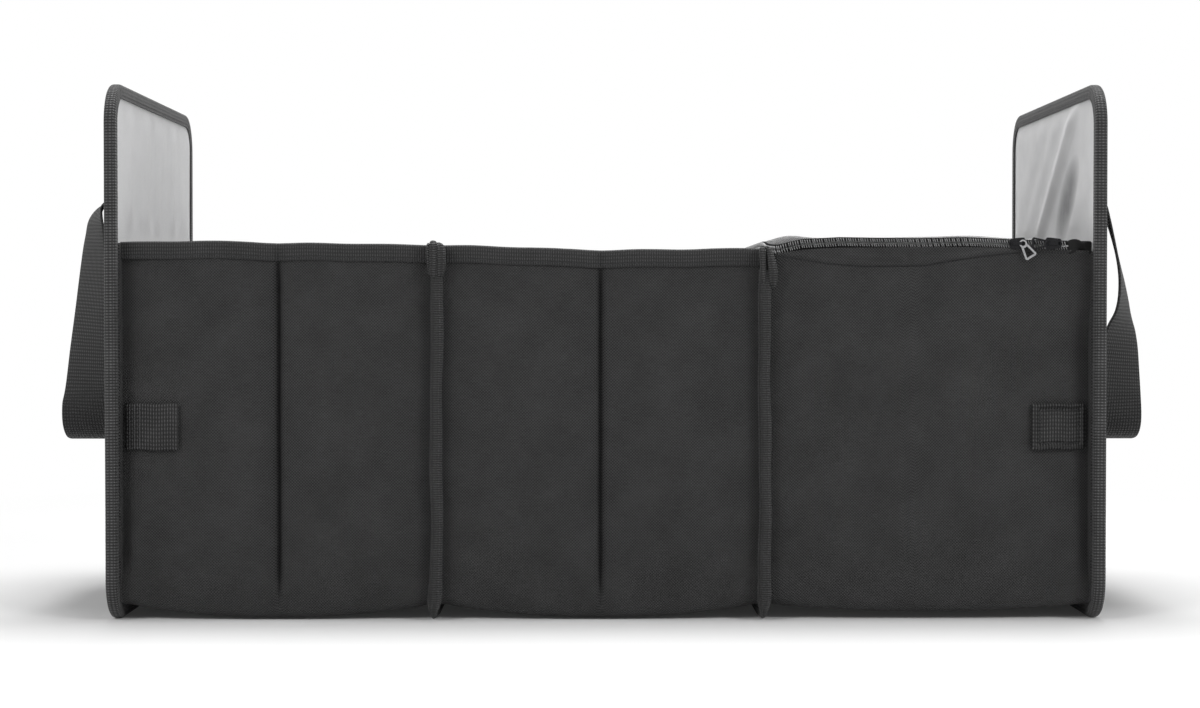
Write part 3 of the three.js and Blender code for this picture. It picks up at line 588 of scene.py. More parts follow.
# The stitched row lies 2.2 mm above the tape's lower edge, and the tape takes up 0.6 of the relief
# of the cloth below it.
row_inset = 2.2
relief_share = 0.6
weave_gap = 14
hairpin = hairpin_ring(2 * binding_wrap + lining_back, top_binding_width, binding_thickness)
for bay, name in ((left_bay, "left_bay"), (middle_bay, "middle_bay")):
    for place, side in (("front", -1), ("back", 1)):
        node = f"{name}_{place}_top_binding"
        low, high = corners(node)
        middle = wall_plane - lining_back / 2
        rings, weave, seam_line = [], [], []
        for x in bay.stations(low[0], high[0], 2.2):
            edge_z = bay.edge(x) + 0.25 * math.sin(0.11 * x + 1.3 * side)
            lean = [bay.relief(x, edge_z - d) * relief_share for a, d in hairpin]
            rings.append([(x, side * (middle - a + out), edge_z - d) for (a, d), out in zip(hairpin, lean)])
            weave.append([(d + (0 if a < 0 else weave_gap), x, 0) for a, d in hairpin])
            row_z = edge_z - (top_binding_width - row_inset)
            out = middle - hairpin[0][0] + 0.12 + bay.relief(x, row_z) * relief_share
            seam_line.append((x, side * out, row_z))
        binding = loft_piece(f"{name}_{place}_edge_tape", rings, weave, tape_finish)
        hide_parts(node)
        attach(binding, "root")
        sewing = stitches(f"{name}_{place}_edge_stitches", [seam_line], thread_finish)
        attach(sewing, "root")

low, high = corners("left_divider_binding")
divider_pin = hairpin_ring(high[0] - low[0], top_binding_width, binding_thickness)
divider_x = (low[0] + high[0]) / 2
ys = np.linspace(low[1], high[1], 120)
rings = [[(divider_x + a, y, wall_top - d) for a, d in divider_pin] for y in ys]
weave = [[(d + (0 if a < 0 else weave_gap), y, 0) for a, d in divider_pin] for y in ys]
divider_tape = loft_piece("divider_edge_tape", rings, weave, tape_finish)
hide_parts("left_divider_binding")
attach(divider_tape, "root")


# End panels: each a stiff board between a black outer cover and a light grey lining, bound all round
# with black tape. The lining is loose, so that it ripples, and on the right it sags in folds.
panel_corner_radius = 28
panel_binding_width = 9.5
panel_row_inset = 1.9


def panel_outline(inset, step=2.4):
    radius = panel_corner_radius - inset
    side, bottom, top = panel_high[1] - inset - radius, inset + radius, panel_high[2] - inset - radius
    line = []
    corner_middles = ((side, top), (-side, top), (-side, bottom), (side, bottom))
    for quarter, (middle_y, middle_z) in enumerate(corner_middles):
        for turn in np.radians(90 * quarter + np.linspace(0, 90, 13)):
            line.append((middle_y + radius * math.cos(turn), middle_z + radius * math.sin(turn)))
    line = np.array(line + line[:1])
    along = run_length(line)
    places = np.linspace(0, along[-1], int(along[-1] / step) + 1)[:-1]
    return np.stack([np.interp(places, along, line[:, k]) for k in range(2)], 1), places


def panel_sheet(name, side, near, far, relief, finish, step=3.2, count=46, inset=binding_wrap + 0.05):
    outline = panel_outline(inset, step)[0]
    middle = np.array([0.0, panel_high[2] / 2])
    shares = np.concatenate([np.linspace(0.012, 0.93, count), [0.96, 0.985, 1.0]])
    rings, weave = [], []
    for shares_side, depth in ((shares, near), (shares[::-1], far)):
        for share in shares_side:
            ring = middle + (outline - middle) * share
            out = np.array([relief(y, z) for y, z in ring]) * (1 - smooth(0.955, 1.0, share))
            rings.append([(side * (depth + out[i]), y, z) for i, (y, z) in enumerate(ring)])
            weave.append([(y, z, 0) for y, z in ring])
    return loft_piece(name, rings, weave, finish, sharp=60)


def left_ripples(y, z):
    up = between(z, 256, 275, 330, 350)
    return -up * (0.55 * math.sin(y * 0.115 + 0.6 * math.sin(z * 0.03)) + 0.35 * math.sin(y * 0.19 + 1.0) + 0.4)


# The main fold of the right lining runs down towards the front; off is the distance above it.
fold_slope = 0.68
fold_height = 286
fold_length = 1.21


def right_sag(y, z):
    up = between(z, 253, 268, 336, 352)
    across = between(y, -143, -118, 118, 143)
    off = (fold_slope * y + z - fold_height) / fold_length
    ridge = 3.4 * bell(off - 1, 9 if off > 1 else 4.5)
    streaks = 0.8 * bell(off - 34, 9) + 0.7 * bell(off - 62, 13)
    swell = 1.2 * bell(off + 62, 16) + 0.8 * smooth(-4, 14, off)
    return -up * across * (ridge + streaks + swell)


def plain_slack(y, z):
    return 0.18 * math.sin(y * 0.05) * math.sin(z * 0.037)


def binding_ring(half_width, width, thickness):
    outer, inner = half_width, half_width - thickness
    radius = 2.6
    turns = np.linspace(0, np.pi / 2, 5)[1:-1]
    ring = [(-outer + 0.25, width), (-outer, width * 0.8), (-outer, width * 0.45), (-outer, radius)]
    ring += [(-outer + radius * (1 - math.cos(t)), radius * (1 - math.sin(t))) for t in turns]
    ring += [(-outer + radius, 0), (0, 0), (outer - radius, 0)]
    ring += [(outer - radius * (1 - math.cos(t)), radius * (1 - math.sin(t))) for t in turns[::-1]]
    ring += [(outer, radius), (outer, width * 0.45), (outer, width * 0.8), (outer - 0.25, width)]
    return ring + [(inner, width), (inner, thickness), (-inner, thickness), (-inner, width)]


binding_finish = ribbed("black binding webbing", (0.0, 0.0, 0.0), (0.125, 0.125, 0.127), 1.95, 2.5, 0.7,
                        Sheen_Weight=0.1, Specular_IOR_Level=0.45)

# The right lining's colour is darkened in an oval below the main fold: painted shade, where the sagging
# fold shades the lining under it.
sagging_lining = woven("sagging grey lining", (0.60, 0.60, 0.605), (0.76, 0.76, 0.765), 0.5, 0.07, slub=0.35,
                       Sheen_Weight=0.1, Specular_IOR_Level=0.3)
place, u, v = sagging_lining.threads()
off = (u * fold_slope + v - fold_height) / fold_length
below = (off + 33) / 21
ends = (u - v * fold_slope + 246) / 58
# painted shade: an oval below the main fold, darkened in the lining's colour
shade_under_fold = (1.0 - (below * below + ends * ends)).clamped()
shade_under_fold = shade_under_fold * (sagging_lining.noise(place, 0.05) * 0.7 + 0.6)
tone = sagging_lining.noise(place, 0.03)
seen = sagging_lining.colour(tone, (0.58, 0.58, 0.585), (0.78, 0.78, 0.785))
sagging_lining.set("Base Color", sagging_lining.colour(shade_under_fold.clamped(), seen, (0.17, 0.17, 0.175)))

for name, side in (("left", -1), ("right", 1)):
    outer_x = abs(corners(f"{name}_panel_cover")[0 if side < 0 else 1][0])
    low, high = corners(f"{name}_panel_lining")
    inner_x = min(abs(low[0]), abs(high[0]))
    cover = panel_sheet(f"{name}_panel_outer_cloth", side, outer_x, outer_x - cloth_thickness, plain_slack,
                        cloth_finish, step=6, count=16)
    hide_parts(f"{name}_panel_cover")
    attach(cover, "root")
    slack = left_ripples if side < 0 else right_sag
    lining = panel_sheet(f"{name}_panel_inner_cloth", side, inner_x, inner_x + lining_thickness, slack,
                         lining_finish if side < 0 else sagging_lining)
    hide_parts(f"{name}_panel_lining")
    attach(lining, "root")

    low, high = corners(f"{name}_panel_binding")
    middle_x = (low[0] + high[0]) / 2
    section = binding_ring((high[0] - low[0]) / 2, panel_binding_width, binding_thickness)
    edge_a = section[0][0]
    outline, places = panel_outline(0, 1.2)
    before, after = np.roll(outline, 1, 0), np.roll(outline, -1, 0)
    way = (after - before) / np.linalg.norm(after - before, axis=1)[:, None]
    inward = np.stack([-way[:, 1], way[:, 0]], 1)
    rings, weave, rows = [], [], ([], [])
    for i in range(len(outline)):
        wave = 0.12 * math.sin(places[i] * 2 * math.pi / 2.4) + 0.15 * math.sin(places[i] * 0.05)
        ring = []
        for a, d in section:
            lift = wave if abs(a) > abs(edge_a) - 0.01 or d < 0.01 else 0
            y, z = outline[i] + inward[i] * (d - 0.15 * lift + 0.15)
            ring.append((middle_x + a * (1 + 0.03 * lift), y, z))
        rings.append(ring)
        weave.append([(a + (d if a > 0 else -d), places[i], 0) for a, d in section])
        for row, a in zip(rows, (edge_a - 0.1, -edge_a + 0.1)):
            row.append((middle_x + a, *(outline[i] + inward[i] * (panel_binding_width - panel_row_inset))))
    binding = loft_piece(f"{name}_panel_edge_tape", rings, weave, binding_finish, closed=True)
    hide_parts(f"{name}_panel_binding")
    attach(binding, "root")
    sewing = stitches(f"{name}_panel_edge_stitches", rows, thread_finish, pitch=3.4, length=2.5)
    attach(sewing, "root")


# Carrying handles: on each end panel one strap of black webbing, 38 mm wide, sewn down flat at both
# ends. It folds out and down into a loop that turns its face to the front as it hangs.
def curve_through(points, steps=9):
    points = np.asarray(points, float)
    padded = np.concatenate([[2 * points[0] - points[1]], points, [2 * points[-1] - points[-2]]])
    line = []
    for i in range(1, len(padded) - 2):
        a, b, c, d = padded[i - 1:i + 3]
        for t in np.linspace(0, 1, steps, endpoint=False):
            line.append(0.5 * (2 * b + (c - a) * t + (2 * a - 5 * b + 4 * c - d) * t**2
                               + (3 * b - a - 3 * c + d) * t**3))
    return np.array(line + [points[-1]])


strap_width = 38
strap_thickness = 2
strap_y = 70
hinge_height = 282
hinge_out = 4.8
panel_face = -panel_low[0]
cover_face = 330


def strap_ring(point, tangent, turn):
    wide = np.array([math.sin(turn), math.cos(turn), 0.0])
    wide -= tangent * wide.dot(tangent)
    wide /= np.linalg.norm(wide)
    out = np.cross(tangent, wide)
    half, thick = strap_width / 2, strap_thickness / 2
    outline = [(-half, 0), (-half + 0.4, thick * 0.8), (-half + 1.2, thick), (-half / 2, thick), (0, thick),
               (half / 2, thick), (half - 1.2, thick), (half - 0.4, thick * 0.8), (half, 0)]
    outline += [(a, -b) for a, b in outline[-2:0:-1]]
    return [point + wide * a + out * b for a, b in outline], [a if b >= 0 else a + 60 for a, b in outline]


def strap_loop(side, stations, bottom, bend):
    """Stations down the front leg: distance out from the panel, height and turn in degrees."""
    leg = [(out, -strap_y, high, math.radians(turn)) for out, high, turn in stations]
    out = stations[-1][0]
    leg += [(out, -strap_y + 0.3 * bend, bottom + 0.32 * bend, math.pi / 2),
            (out, -strap_y + bend, bottom, math.pi / 2), (out, 0, bottom - 0.6, math.pi / 2)]
    line = curve_through(leg)
    line = np.concatenate([line, line[-2::-1] * (1, -1, 1, 1)])
    places = line[:, :3]
    tangents = np.gradient(places, axis=0)
    tangents /= np.linalg.norm(tangents, axis=1)[:, None]
    along = run_length(places)
    rings, weave = [], []
    for i, place in enumerate(places):
        turn = line[i, 3] if i <= len(places) // 2 else math.pi - line[i, 3]
        ring, across = strap_ring(place, tangents[i], turn)
        rings.append([(side * (cover_face + x), y, z) for x, y, z in ring])
        weave.append([(u, along[i], 0) for u in across])
    return rings, weave


strap_finish = ribbed("black strap webbing", (0.0, 0.0, 0.0), (0.045, 0.045, 0.046), 2.4, 2.0, 0.7,
                      Sheen_Weight=0.05, Specular_IOR_Level=0.4)
left_leg = [(hinge_out, hinge_height, 0), (12.5, 281, 5), (19, 277, 16), (23, 268.5, 26), (23.8, 258, 31),
            (24.4, 248, 35), (25.4, 230, 40), (27.2, 205, 45), (28.8, 180, 52), (29.5, 155, 63),
            (29.5, 141, 78)]
right_leg = [(hinge_out, hinge_height, 0), (11, 281.4, 3), (16.3, 278, 7), (19.8, 269, 10), (22.9, 258, 12),
             (25.3, 248, 13), (27.6, 237, 14), (29.4, 226, 17), (30.4, 214, 22), (30.2, 204, 29),
             (29.2, 194, 42), (28, 181, 54), (26.8, 165, 64), (26, 145, 75)]
loop_bottom = 117
loop_bend = 26
sewing_inset = 4

for name, side, leg in (("left", -1, left_leg), ("right", 1, right_leg)):
    rings, weave = strap_loop(side, leg, loop_bottom, loop_bend)
    loop = loft_piece(f"{name}_strap", rings, weave, strap_finish, sharp=50)
    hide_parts(f"{name}_handle_loop")
    hinge_x = side * (panel_face + hinge_out)
    hinge_x * MM
    hinge_x * MM
    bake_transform(loop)
    for place in ("front", "rear"):
        node = f"{name}_handle_{place}_end"
        low, high = corners(node)
        near, far = sorted((abs(low[0]), abs(high[0])))
        rounded = [(low[2], 0.5), (low[2] + 0.6, 0)]
        rounded += [(z, 0) for z in np.linspace(low[2] + 2, high[2] - 1.5, 12)]
        rounded += [(high[2] - 0.6, 0.25), (high[2], 0.9)]
        rings, weave = [], []
        for z, inset in rounded:
            x0, x1 = near + inset * 0.5, far - inset
            y0, y1 = low[1] + inset * 0.6, high[1] - inset * 0.6
            ring = [(x0, y0), (x1 - 0.8, y0), (x1, y0 + 0.9), (x1, (y0 + y1) / 2), (x1, y1 - 0.9),
                    (x1 - 0.8, y1), (x0, y1)]
            rings.append([(side * x, y, z) for x, y in ring])
            weave.append([(y, z, 0) for x, y in ring])
        end = loft_piece(f"{name}_strap_{place}_end", rings, weave, strap_finish)
        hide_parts(node)
        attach(end, "root")
        x = side * (far + 0.1)
        y0, y1 = low[1] + sewing_inset, high[1] - sewing_inset
        z0, z1 = low[2] + sewing_inset, high[2] - sewing_inset - 1
        box = [(x, y0, z0), (x, y1, z0), (x, y1, z1), (x, y0, z1), (x, y0, z0)]
        cross = [[(x, y0, z0), (x, y1, z1)], [(x, y1, z0), (x, y0, z1)]]
        sewing = stitches(f"{name}_strap_{place}_stitches", [box, *cross], thread_finish)
        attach(sewing, "root")


# Bound seams between the bays: a plump rib of folded tape down the front, under the floor and up the
# back. Its ends are folded over the top edge, and those of the right rib have sprung open in two lobes.
rib_finish = ribbed("black seam tape", (0.0, 0.0, 0.0), (0.072, 0.072, 0.073), 1.55, 2.3, 0.9,
                    Sheen_Weight=0.1, Specular_IOR_Level=0.4)


rib_depth = 9
rib_half_width = 4
rib_outline = [(-1, 0.0), (-1, 0.45), (-0.93, 0.72), (-0.7, 0.92), (-0.25, 1), (0.25, 1), (0.7, 0.92),
               (0.93, 0.72), (1, 0.45), (1, 0.0)]


def seam_rib(name, node, bay, x, lean, narrow):
    top = wall_top - top_binding_width - 1
    outer, inner = (np.array(bay.section(bay.start, depth, top, steps=64, fold_steps=7))
                    for depth in (-seat - rib_depth, -seat))
    along = run_length(outer)
    rings, weave, rows = [], [], ([], [])
    for far, near, s in zip(outer, inner, along):
        z = max(far[1], 0.4)
        foot = clamp01(1 - z / 70)
        middle = x - lean * foot**2 + 0.45 * math.sin(z * 0.035 + x) + 0.2 * math.sin(z * 0.11)
        pinched = narrow * float(smooth(9, 1.5, z)) if abs(far[0]) > 120 else 0
        foot_width = 1 + 0.16 * bell(z - 16, 9) - pinched
        half = rib_half_width * foot_width * (1 + 0.05 * math.sin(z * 0.07 + x))
        plump = 1 + 0.03 * math.sin(z * 0.09 + 2)
        ring = []
        for a, b in rib_outline:
            y, height = near + (far - near) * b * (plump if b > 0.5 else 1)
            ring.append((middle + half * a, y, max(height, 0.35)))
        rings.append(ring)
        weave.append([(a * rib_half_width + b * 8 * np.sign(a), s, 0) for a, b in rib_outline])
        for row, way in zip(rows, (-1, 1)):
            row.append((middle + (half + 0.12) * way, *(near + (far - near) * 0.3)))
    rib = loft_piece(name, rings, weave, rib_finish)
    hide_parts(node)
    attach(rib, "root")
    sewing = stitches(f"{name}_stitches", rows, thread_finish, pitch=3.2)
    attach(sewing, "root")


def fold_lobe(name, line, half, thick):
    """A soft oval lobe of folded tape along a line of (x, y, z, scale)."""
    line = curve_through(line, 7)
    turns = np.arange(14) * 2 * math.pi / 14
    rings, weave = [], []
    for (x, y, z, scale), v in zip(line, run_length(line[:, :3])):
        ring = []
        for t in turns:
            a, b = math.cos(t), math.sin(t)
            a, b = np.sign(a) * abs(a) ** 0.6, np.sign(b) * abs(b) ** 0.6
            ring.append((x + half * scale * a, y + thick * scale * b, z))
        rings.append(ring)
        weave.append([(t * half, v, 0) for t in turns])
    lobe = loft_piece(name, rings, weave, rib_finish)
    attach(lobe, "root")


left_seam_x = (divider_low[0] + divider_high[0]) / 2
right_low, right_high = corners("right_divider")
right_seam_x = (right_low[0] + right_high[0]) / 2
seam_rib("left_seam_rib", "left_seam_binding", middle_bay, left_seam_x, 3, 0.45)
seam_rib("right_seam_rib", "right_seam_binding", cooler, right_seam_x, 0, 0.45)

# The caps: name, middle, half width, half thickness, and a line of (offset along the wall, height,
# scale) from the lower end up. The core lies deeper than the lobes in front of it.
cap_y = wall_plane + 6.2
core_inset = 2.6
caps = (
    ("left_seam_flap", left_seam_x - 5.0, 1.1, 3.2,
     [(0.4, 231, 0.6), (0, 240, 1), (-0.2, 249, 1), (0, 251.2, 0.4)]),
    ("left_seam_hood", left_seam_x - 1.4, 3.0, 4.6,
     [(0, 228.6, 0.6), (-0.1, 231, 0.95), (0, 240, 1.02), (-0.1, 249, 1), (-0.4, 252, 0.7),
      (-0.5, 252.9, 0.25)]),
    ("left_seam_fold", left_seam_x + 3.3, 3.2, 4.3,
     [(-0.5, 229.4, 0.55), (-0.3, 232, 0.9), (0.1, 240, 1.05), (-0.3, 247.5, 1), (-1.1, 250.4, 0.75),
      (-1.6, 251.6, 0.25)]),
    ("right_seam_fold", 103.6, 2.1, 4.2,
     [(1.2, 222.6, 0.5), (0.5, 227, 0.9), (0.2, 238, 1), (-0.2, 245.5, 1), (-0.3, 248.6, 0.7),
      (0.2, 249.6, 0.25)]),
    ("right_seam_leaf", 109.6, 2.9, 4.6,
     [(1.2, 222.2, 0.35), (1.0, 225, 0.9), (0.7, 231, 1.12), (-0.2, 239, 0.98), (-1.4, 245, 0.75),
      (-2.8, 248.2, 0.55), (-3.4, 249.4, 0.25)]),
    ("right_seam_core", right_seam_x + 0.6, 3.6, 2.0,
     [(0, 220, 0.8), (0, 230, 1), (0, 242, 0.95), (-0.3, 246, 0.5)]))
for place, side in (("front", -1), ("back", 1)):
    for name, middle, half, thick, line in caps:
        y = side * (cap_y - (core_inset if name.endswith("core") else 0))
        fold_lobe(f"{name}_{place}", [(middle + off, y, z, scale) for off, z, scale in line], half, thick)


# Closure tabs: short tabs of ribbed webbing on the walls beside the end panels. The left ones are
# held by rows of zigzag stitches, the right ones have a raised stitched square.
tab_finish = ribbed("black tab webbing", (0.0, 0.0, 0.0), (0.095, 0.095, 0.096), 1.9, 2.6, 0.9,
                    Specular_IOR_Level=0.4)
tab_thread = woven("tab thread", (0.03, 0.03, 0.031), (0.12, 0.12, 0.123), 0.3, 0.1)
tab_thickness = 2.0
square_inset = 0.145


def closure_tab(name, node, bay, side, root_x, tip_x, square):
    low, high = corners(node)
    heights = np.linspace(high[2], low[2], 37)
    length = abs(tip_x - root_x)
    rings, weave = [], []

    def face(x, z, depth):
        share = abs(x - root_x) / length
        v = (z - low[2]) / (high[2] - low[2])
        edge = min(share, 1 - share, v, 1 - v)
        lift = 0.5 * math.sin(math.pi * share) + 0.9 * share**3
        raised = 0.0
        if square and depth > 1:
            border = max(abs(share - 0.5), abs(v - 0.5))
            raised = 1.2 * bell(border - 0.44, 0.04) - 1.5 * bell(border - 0.365, 0.028)
        thin = 0.5 * math.exp(-edge / 0.02) if depth > 1 else 0
        return side * (wall_plane + bay.relief(x, z) + seat + lift + depth + raised - thin)

    for x in np.linspace(root_x, tip_x, 56):
        wave = 0.25 * math.sin(x * 0.3)
        rings.append([(x, face(x, z, depth), z + wave)
                      for depth, row in ((tab_thickness, heights), (0.0, heights[::-1])) for z in row])
        weave.append([(z, x, 0) for z in (*heights, *heights[::-1])])
    tab = loft_piece(name, rings, weave, tab_finish)
    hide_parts(node)
    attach(tab, "root")
    if square:
        near, far = square_inset, 1 - square_inset
        loop = [(near, near), (far, near), (far, far), (near, far), (near, near)]
        lines = [[(a[0] + (b[0] - a[0]) * t, a[1] + (b[1] - a[1]) * t) for a, b in zip(loop, loop[1:])
                  for t in np.linspace(0, 1, 12, endpoint=False)] + [loop[0]]]
    else:
        lines = [[(row + 0.035 * (i % 2), v) for i, v in enumerate(np.linspace(0.04, 0.96, 25))]
                 for row in (0.07, 0.17, 0.27)]
    paths = []
    for line in lines:
        places = [(root_x + (tip_x - root_x) * u, low[2] + (high[2] - low[2]) * v) for u, v in line]
        paths.append([(x, face(x, z, tab_thickness) + side * 0.15, z) for x, z in places])
    sewing = stitches(f"{name}_stitches", paths, tab_thread, pitch=2.2, length=1.9, radius=0.38)
    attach(sewing, "root")


for place, side in (("front", -1), ("back", 1)):
    low, high = corners(f"{place}_left_tab")
    closure_tab(f"{place}_left_closure_tab", f"{place}_left_tab", left_bay, side, low[0], high[0], False)
    low, high = corners(f"{place}_right_tab")
    closure_tab(f"{place}_right_closure_tab", f"{place}_right_tab", cooler, side, high[0], low[0], True)


# Turned ends of the front and back walls: the black cloth is folded over the raw end of each wall
# and sewn to the end panel, where it stands out as a narrow fold.
wall_end_x = 322.9
fold_depth = 9
fold_profile = ((-0.9, -fold_depth), (-0.9, -2.4), (-0.2, -0.6), (1.3, 0), (1.3, -fold_depth))
for place, side in (("front", -1), ("back", 1)):
    for name, bay, way in (("left", left_bay, -1), ("right", cooler, 1)):
        x = way * wall_end_x
        rings, weave = [], []
        for z in np.linspace(12, bay.edge(x) - 0.6, 60):
            out = wall_plane + 1.2 + 0.25 * math.sin(z * 0.21)
            rings.append([(x + way * a, side * (out + b), z) for a, b in fold_profile])
            weave.append([(out + b, z, 0) for a, b in fold_profile])
        flap = loft_piece(f"{name}_{place}_wall_end", rings, weave, cloth_finish)
        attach(flap, "root")


# Cooler: black cloth like the open bays, with a turned hem that runs in a shallow wave below the zip,
# five sheets of white foam and a welded liner of silver film, which the lid uncovers.
foam_thickness = 6
foam_end_half = 1.8
foam_middle = board_depth + foam_thickness / 2
film_depth = board_depth + foam_thickness + seat
film_thickness = 0.8
cloth = folded_cloth("cooler_cloth", cooler, cooler.start, cooler.end, 0, cloth_thickness, cooler.edge,
                     cloth_finish, "cloth")
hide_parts("cooler_shell")
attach(cloth, "root")
hem_row = []
for x in np.arange(cooler.start + 4, cooler.end - 2, 1.2):
    z = cooler.edge(x) - np.interp(x, hem_x, hem_wide)
    hem_row.append((x, -(wall_plane + cooler.relief(x, z) + 0.15), z))
hem_back = [(x, -y, z) for x, y, z in hem_row]
sewing = stitches("cooler_hem_stitches", [hem_row, hem_back], thread_finish,
                  pitch=3.1, length=2.3, radius=0.3)
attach(sewing, "root")


slab_rim = np.array([0, 0.08, 0.25, 0.55, 1.0])


def slab(name, low, high, axis, finish, soft=2.0, puff=0.0, fine=5.0):
    """A sheet or pad between two corners, thin along one axis, with rounded edges and a soft swell."""
    low, high = np.asarray(low, float), np.asarray(high, float)
    u, v = [k for k in range(3) if k != axis]
    thick = (high[axis] - low[axis]) / 2

    def marks(k):
        length = high[k] - low[k]
        edge = slab_rim * soft
        inside = np.linspace(2 * soft, length - 2 * soft, max(int(length / fine), 3))
        return np.concatenate([edge, inside, length - edge[::-1]]) + low[k]

    us, vs = marks(u), marks(v)
    points, weave, faces, index = [], [], [], {}
    for face in (1, -1):
        for i, a in enumerate(us):
            for j, b in enumerate(vs):
                rim = i in (0, len(us) - 1) or j in (0, len(vs) - 1)
                if rim and face < 0:
                    index[face, i, j] = index[1, i, j]
                    continue
                gap = min(a - low[u], high[u] - a, b - low[v], high[v] - b, soft) / soft
                swell = math.sin(math.pi * (a - low[u]) / (high[u] - low[u]))
                swell *= math.sin(math.pi * (b - low[v]) / (high[v] - low[v]))
                rise = thick * math.sqrt(max(1 - (1 - gap) ** 2, 0)) + puff * swell
                point = [0.0, 0.0, 0.0]
                point[u], point[v] = a, b
                point[axis] = low[axis] + thick + face * rise
                index[face, i, j] = len(points)
                points.append(point)
                weave.append((a, b, 0))
        for i in range(len(us) - 1):
            for j in range(len(vs) - 1):
                faces.append([index[face, i + a, j + b] for a, b in ((0, 0), (1, 0), (1, 1), (0, 1))])
    return make_piece(name, points, faces, weave, finish, sharp=60)


foam_finish = Finish("white foam", roughness=0.9, Specular_IOR_Level=0.3)
place = foam_finish.threads()[0]
cells = foam_finish.noise(place, 1.4, 2)
foam_finish.set("Base Color", foam_finish.colour(cells, (0.62, 0.62, 0.60), (0.86, 0.86, 0.84)))
foam_finish.bump(cells, 0.5)

film_finish = Finish("silver film", roughness=0.35, metallic=0.85)
place = film_finish.threads()[0]
wrinkle = film_finish.noise(place, 0.09, 4)
film_finish.set("Base Color", film_finish.colour(wrinkle, (0.45, 0.46, 0.48), (0.70, 0.71, 0.73)))
film_finish.set("Roughness", (wrinkle * 0.4 + 0.15).clamped())
film_finish.bump(wrinkle, 2.5)

for place in ("left", "right"):
    low, high = corners(f"cooler_{place}_foam")
    foam = slab(f"cooler_{place}_foam_sheet", low, high, 0, foam_finish)
    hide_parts(f"cooler_{place}_foam")
    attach(foam, "root")
for place, side in (("front", -1), ("back", 1)):
    low, high = corners(f"cooler_{place}_foam")
    rings, weave = [], []
    for x in cooler.stations(low[0], high[0], 5):
        heights = np.linspace(high[2], cooler.fold_top(x), 24)
        half = np.full(24, foam_thickness / 2)
        half[[0, -1]] = foam_end_half
        depths = [(foam_middle + way * h, z) for way, row in ((-1, heights), (1, heights[::-1]))
                  for h, z in zip(half, row)]
        rings.append([(x, side * (wall_plane - d + cooler.relief(x, z)), z) for d, z in depths])
        weave.append([(x, z, 0) for d, z in depths])
    foam = loft_piece(f"cooler_{place}_foam_sheet", rings, weave, foam_finish)
    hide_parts(f"cooler_{place}_foam")
    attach(foam, "root")
low, high = corners("cooler_floor_foam")
rings, weave = [], []
for x in cooler.stations(low[0], high[0], 5):
    base = cooler.bottom(x) + board_depth
    ys = np.linspace(low[1], high[1], 40)
    rings.append([(x, y, base) for y in ys] + [(x, y, base + foam_thickness) for y in ys[::-1]])
    weave.append([(x, y, 0) for y in (*ys, *ys[::-1])])
foam = loft_piece("cooler_floor_foam_sheet", rings, weave, foam_finish)
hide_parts("cooler_floor_foam")
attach(foam, "root")

low, high = corners("cooler_liner")
film_top = high[2]
film = folded_cloth("cooler_liner_film", cooler, low[0] + 0.9, high[0] - 0.9, film_depth,
                    film_depth + film_thickness, lambda x: film_top, film_finish, "liner", steps=24)
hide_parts("cooler_liner")
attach(film, "root")
for place, x0 in (("left", low[0]), ("right", high[0] - film_thickness)):
    end = slab(f"cooler_liner_{place}_end", (x0, low[1] + 3, low[2] + 4),
               (x0 + film_thickness, high[1] - 3, film_top), 0, film_finish, soft=0.8, puff=0.15)
    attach(end, "root")


# Dividers and base boards: pressed board in sewn cloth sleeves. The dividers stand between the bays,
# and the base boards lie loose on the floor of the two open bays.
shares = np.concatenate([np.linspace(0.015, 0.93, 36), [0.965, 0.99, 1.0]])
middle = np.array([0.0, 130.0])
for node, bay in (("left_divider", middle_bay), ("right_divider", cooler)):
    low, high = corners(node)
    half = bay.half_section(bay.start, board_depth, wall_top - binding_wrap, steps=30)
    edge = np.array(half + [(-y, z) for y, z in half[-2::-1]])
    rings, weave = [], []
    for row, x, way in ((shares, low[0], -1), (shares[::-1], high[0], 1)):
        for share in row:
            outline = middle + (edge - middle) * share
            rounded = 0.9 * smooth(0.965, 1.0, share)
            wave = [0.12 * math.sin(y * 0.06) * math.sin(z * 0.05) * (1 - share) for y, z in outline]
            rings.append([(x - way * (rounded - w), y, z) for (y, z), w in zip(outline, wave)])
            weave.append([(y, z, 0) for y, z in outline])
    sleeve = loft_piece(f"{node}_sleeve", rings, weave, lining_finish, sharp=60)
    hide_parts(node)
    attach(sleeve, "root")

for name in ("left", "middle"):
    low, high = corners(f"{name}_base_board")
    board = slab(f"{name}_base_board_cover", low, high, 2, cloth_finish, soft=1.5, puff=0.1)
    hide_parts(f"{name}_base_board")
    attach(board, "root")

for name, side in (("left", -1), ("right", 1)):
    low, high = corners(f"{name}_panel_board")
    near, far = sorted((abs(low[0]), abs(high[0])))
    board = panel_sheet(f"{name}_panel_stiffener", side, far, near, lambda y, z: 0.0,
                        board_finish, step=8, count=4)
    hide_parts(f"{name}_panel_board")
    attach(board, "root")


# Lid: a crowned pad of foam under dark cloth with a film lining, zipped on three sides. Its edge
# follows the zip, which dips at the left corner and towards the sliders.
zip_rise_line = [(100, -6.0), (108, -5.6), (115, -4.4), (121, -2.4), (130, -0.4), (155, 0.9), (182, 0.5),
                 (205, 0.2), (238, 0.9), (262, -0.1), (273, -0.8), (300, -1.4), (325, -1.4)]
rise_x, rise_z = zip(*zip_rise_line)
zip_inset = 1.3
zip_corner_radius = 14
cover_thickness = 1.0
cover_edge_drop = 1.4
cover_crown = 5.5


def zip_rise(x, y):
    near_wall = np.clip((np.abs(y) / 140) ** 9, 0, 1)
    side = -0.7 * bell(x - 108, 10)
    return np.interp(x, rise_x, rise_z) * near_wall + side * (1 - near_wall)


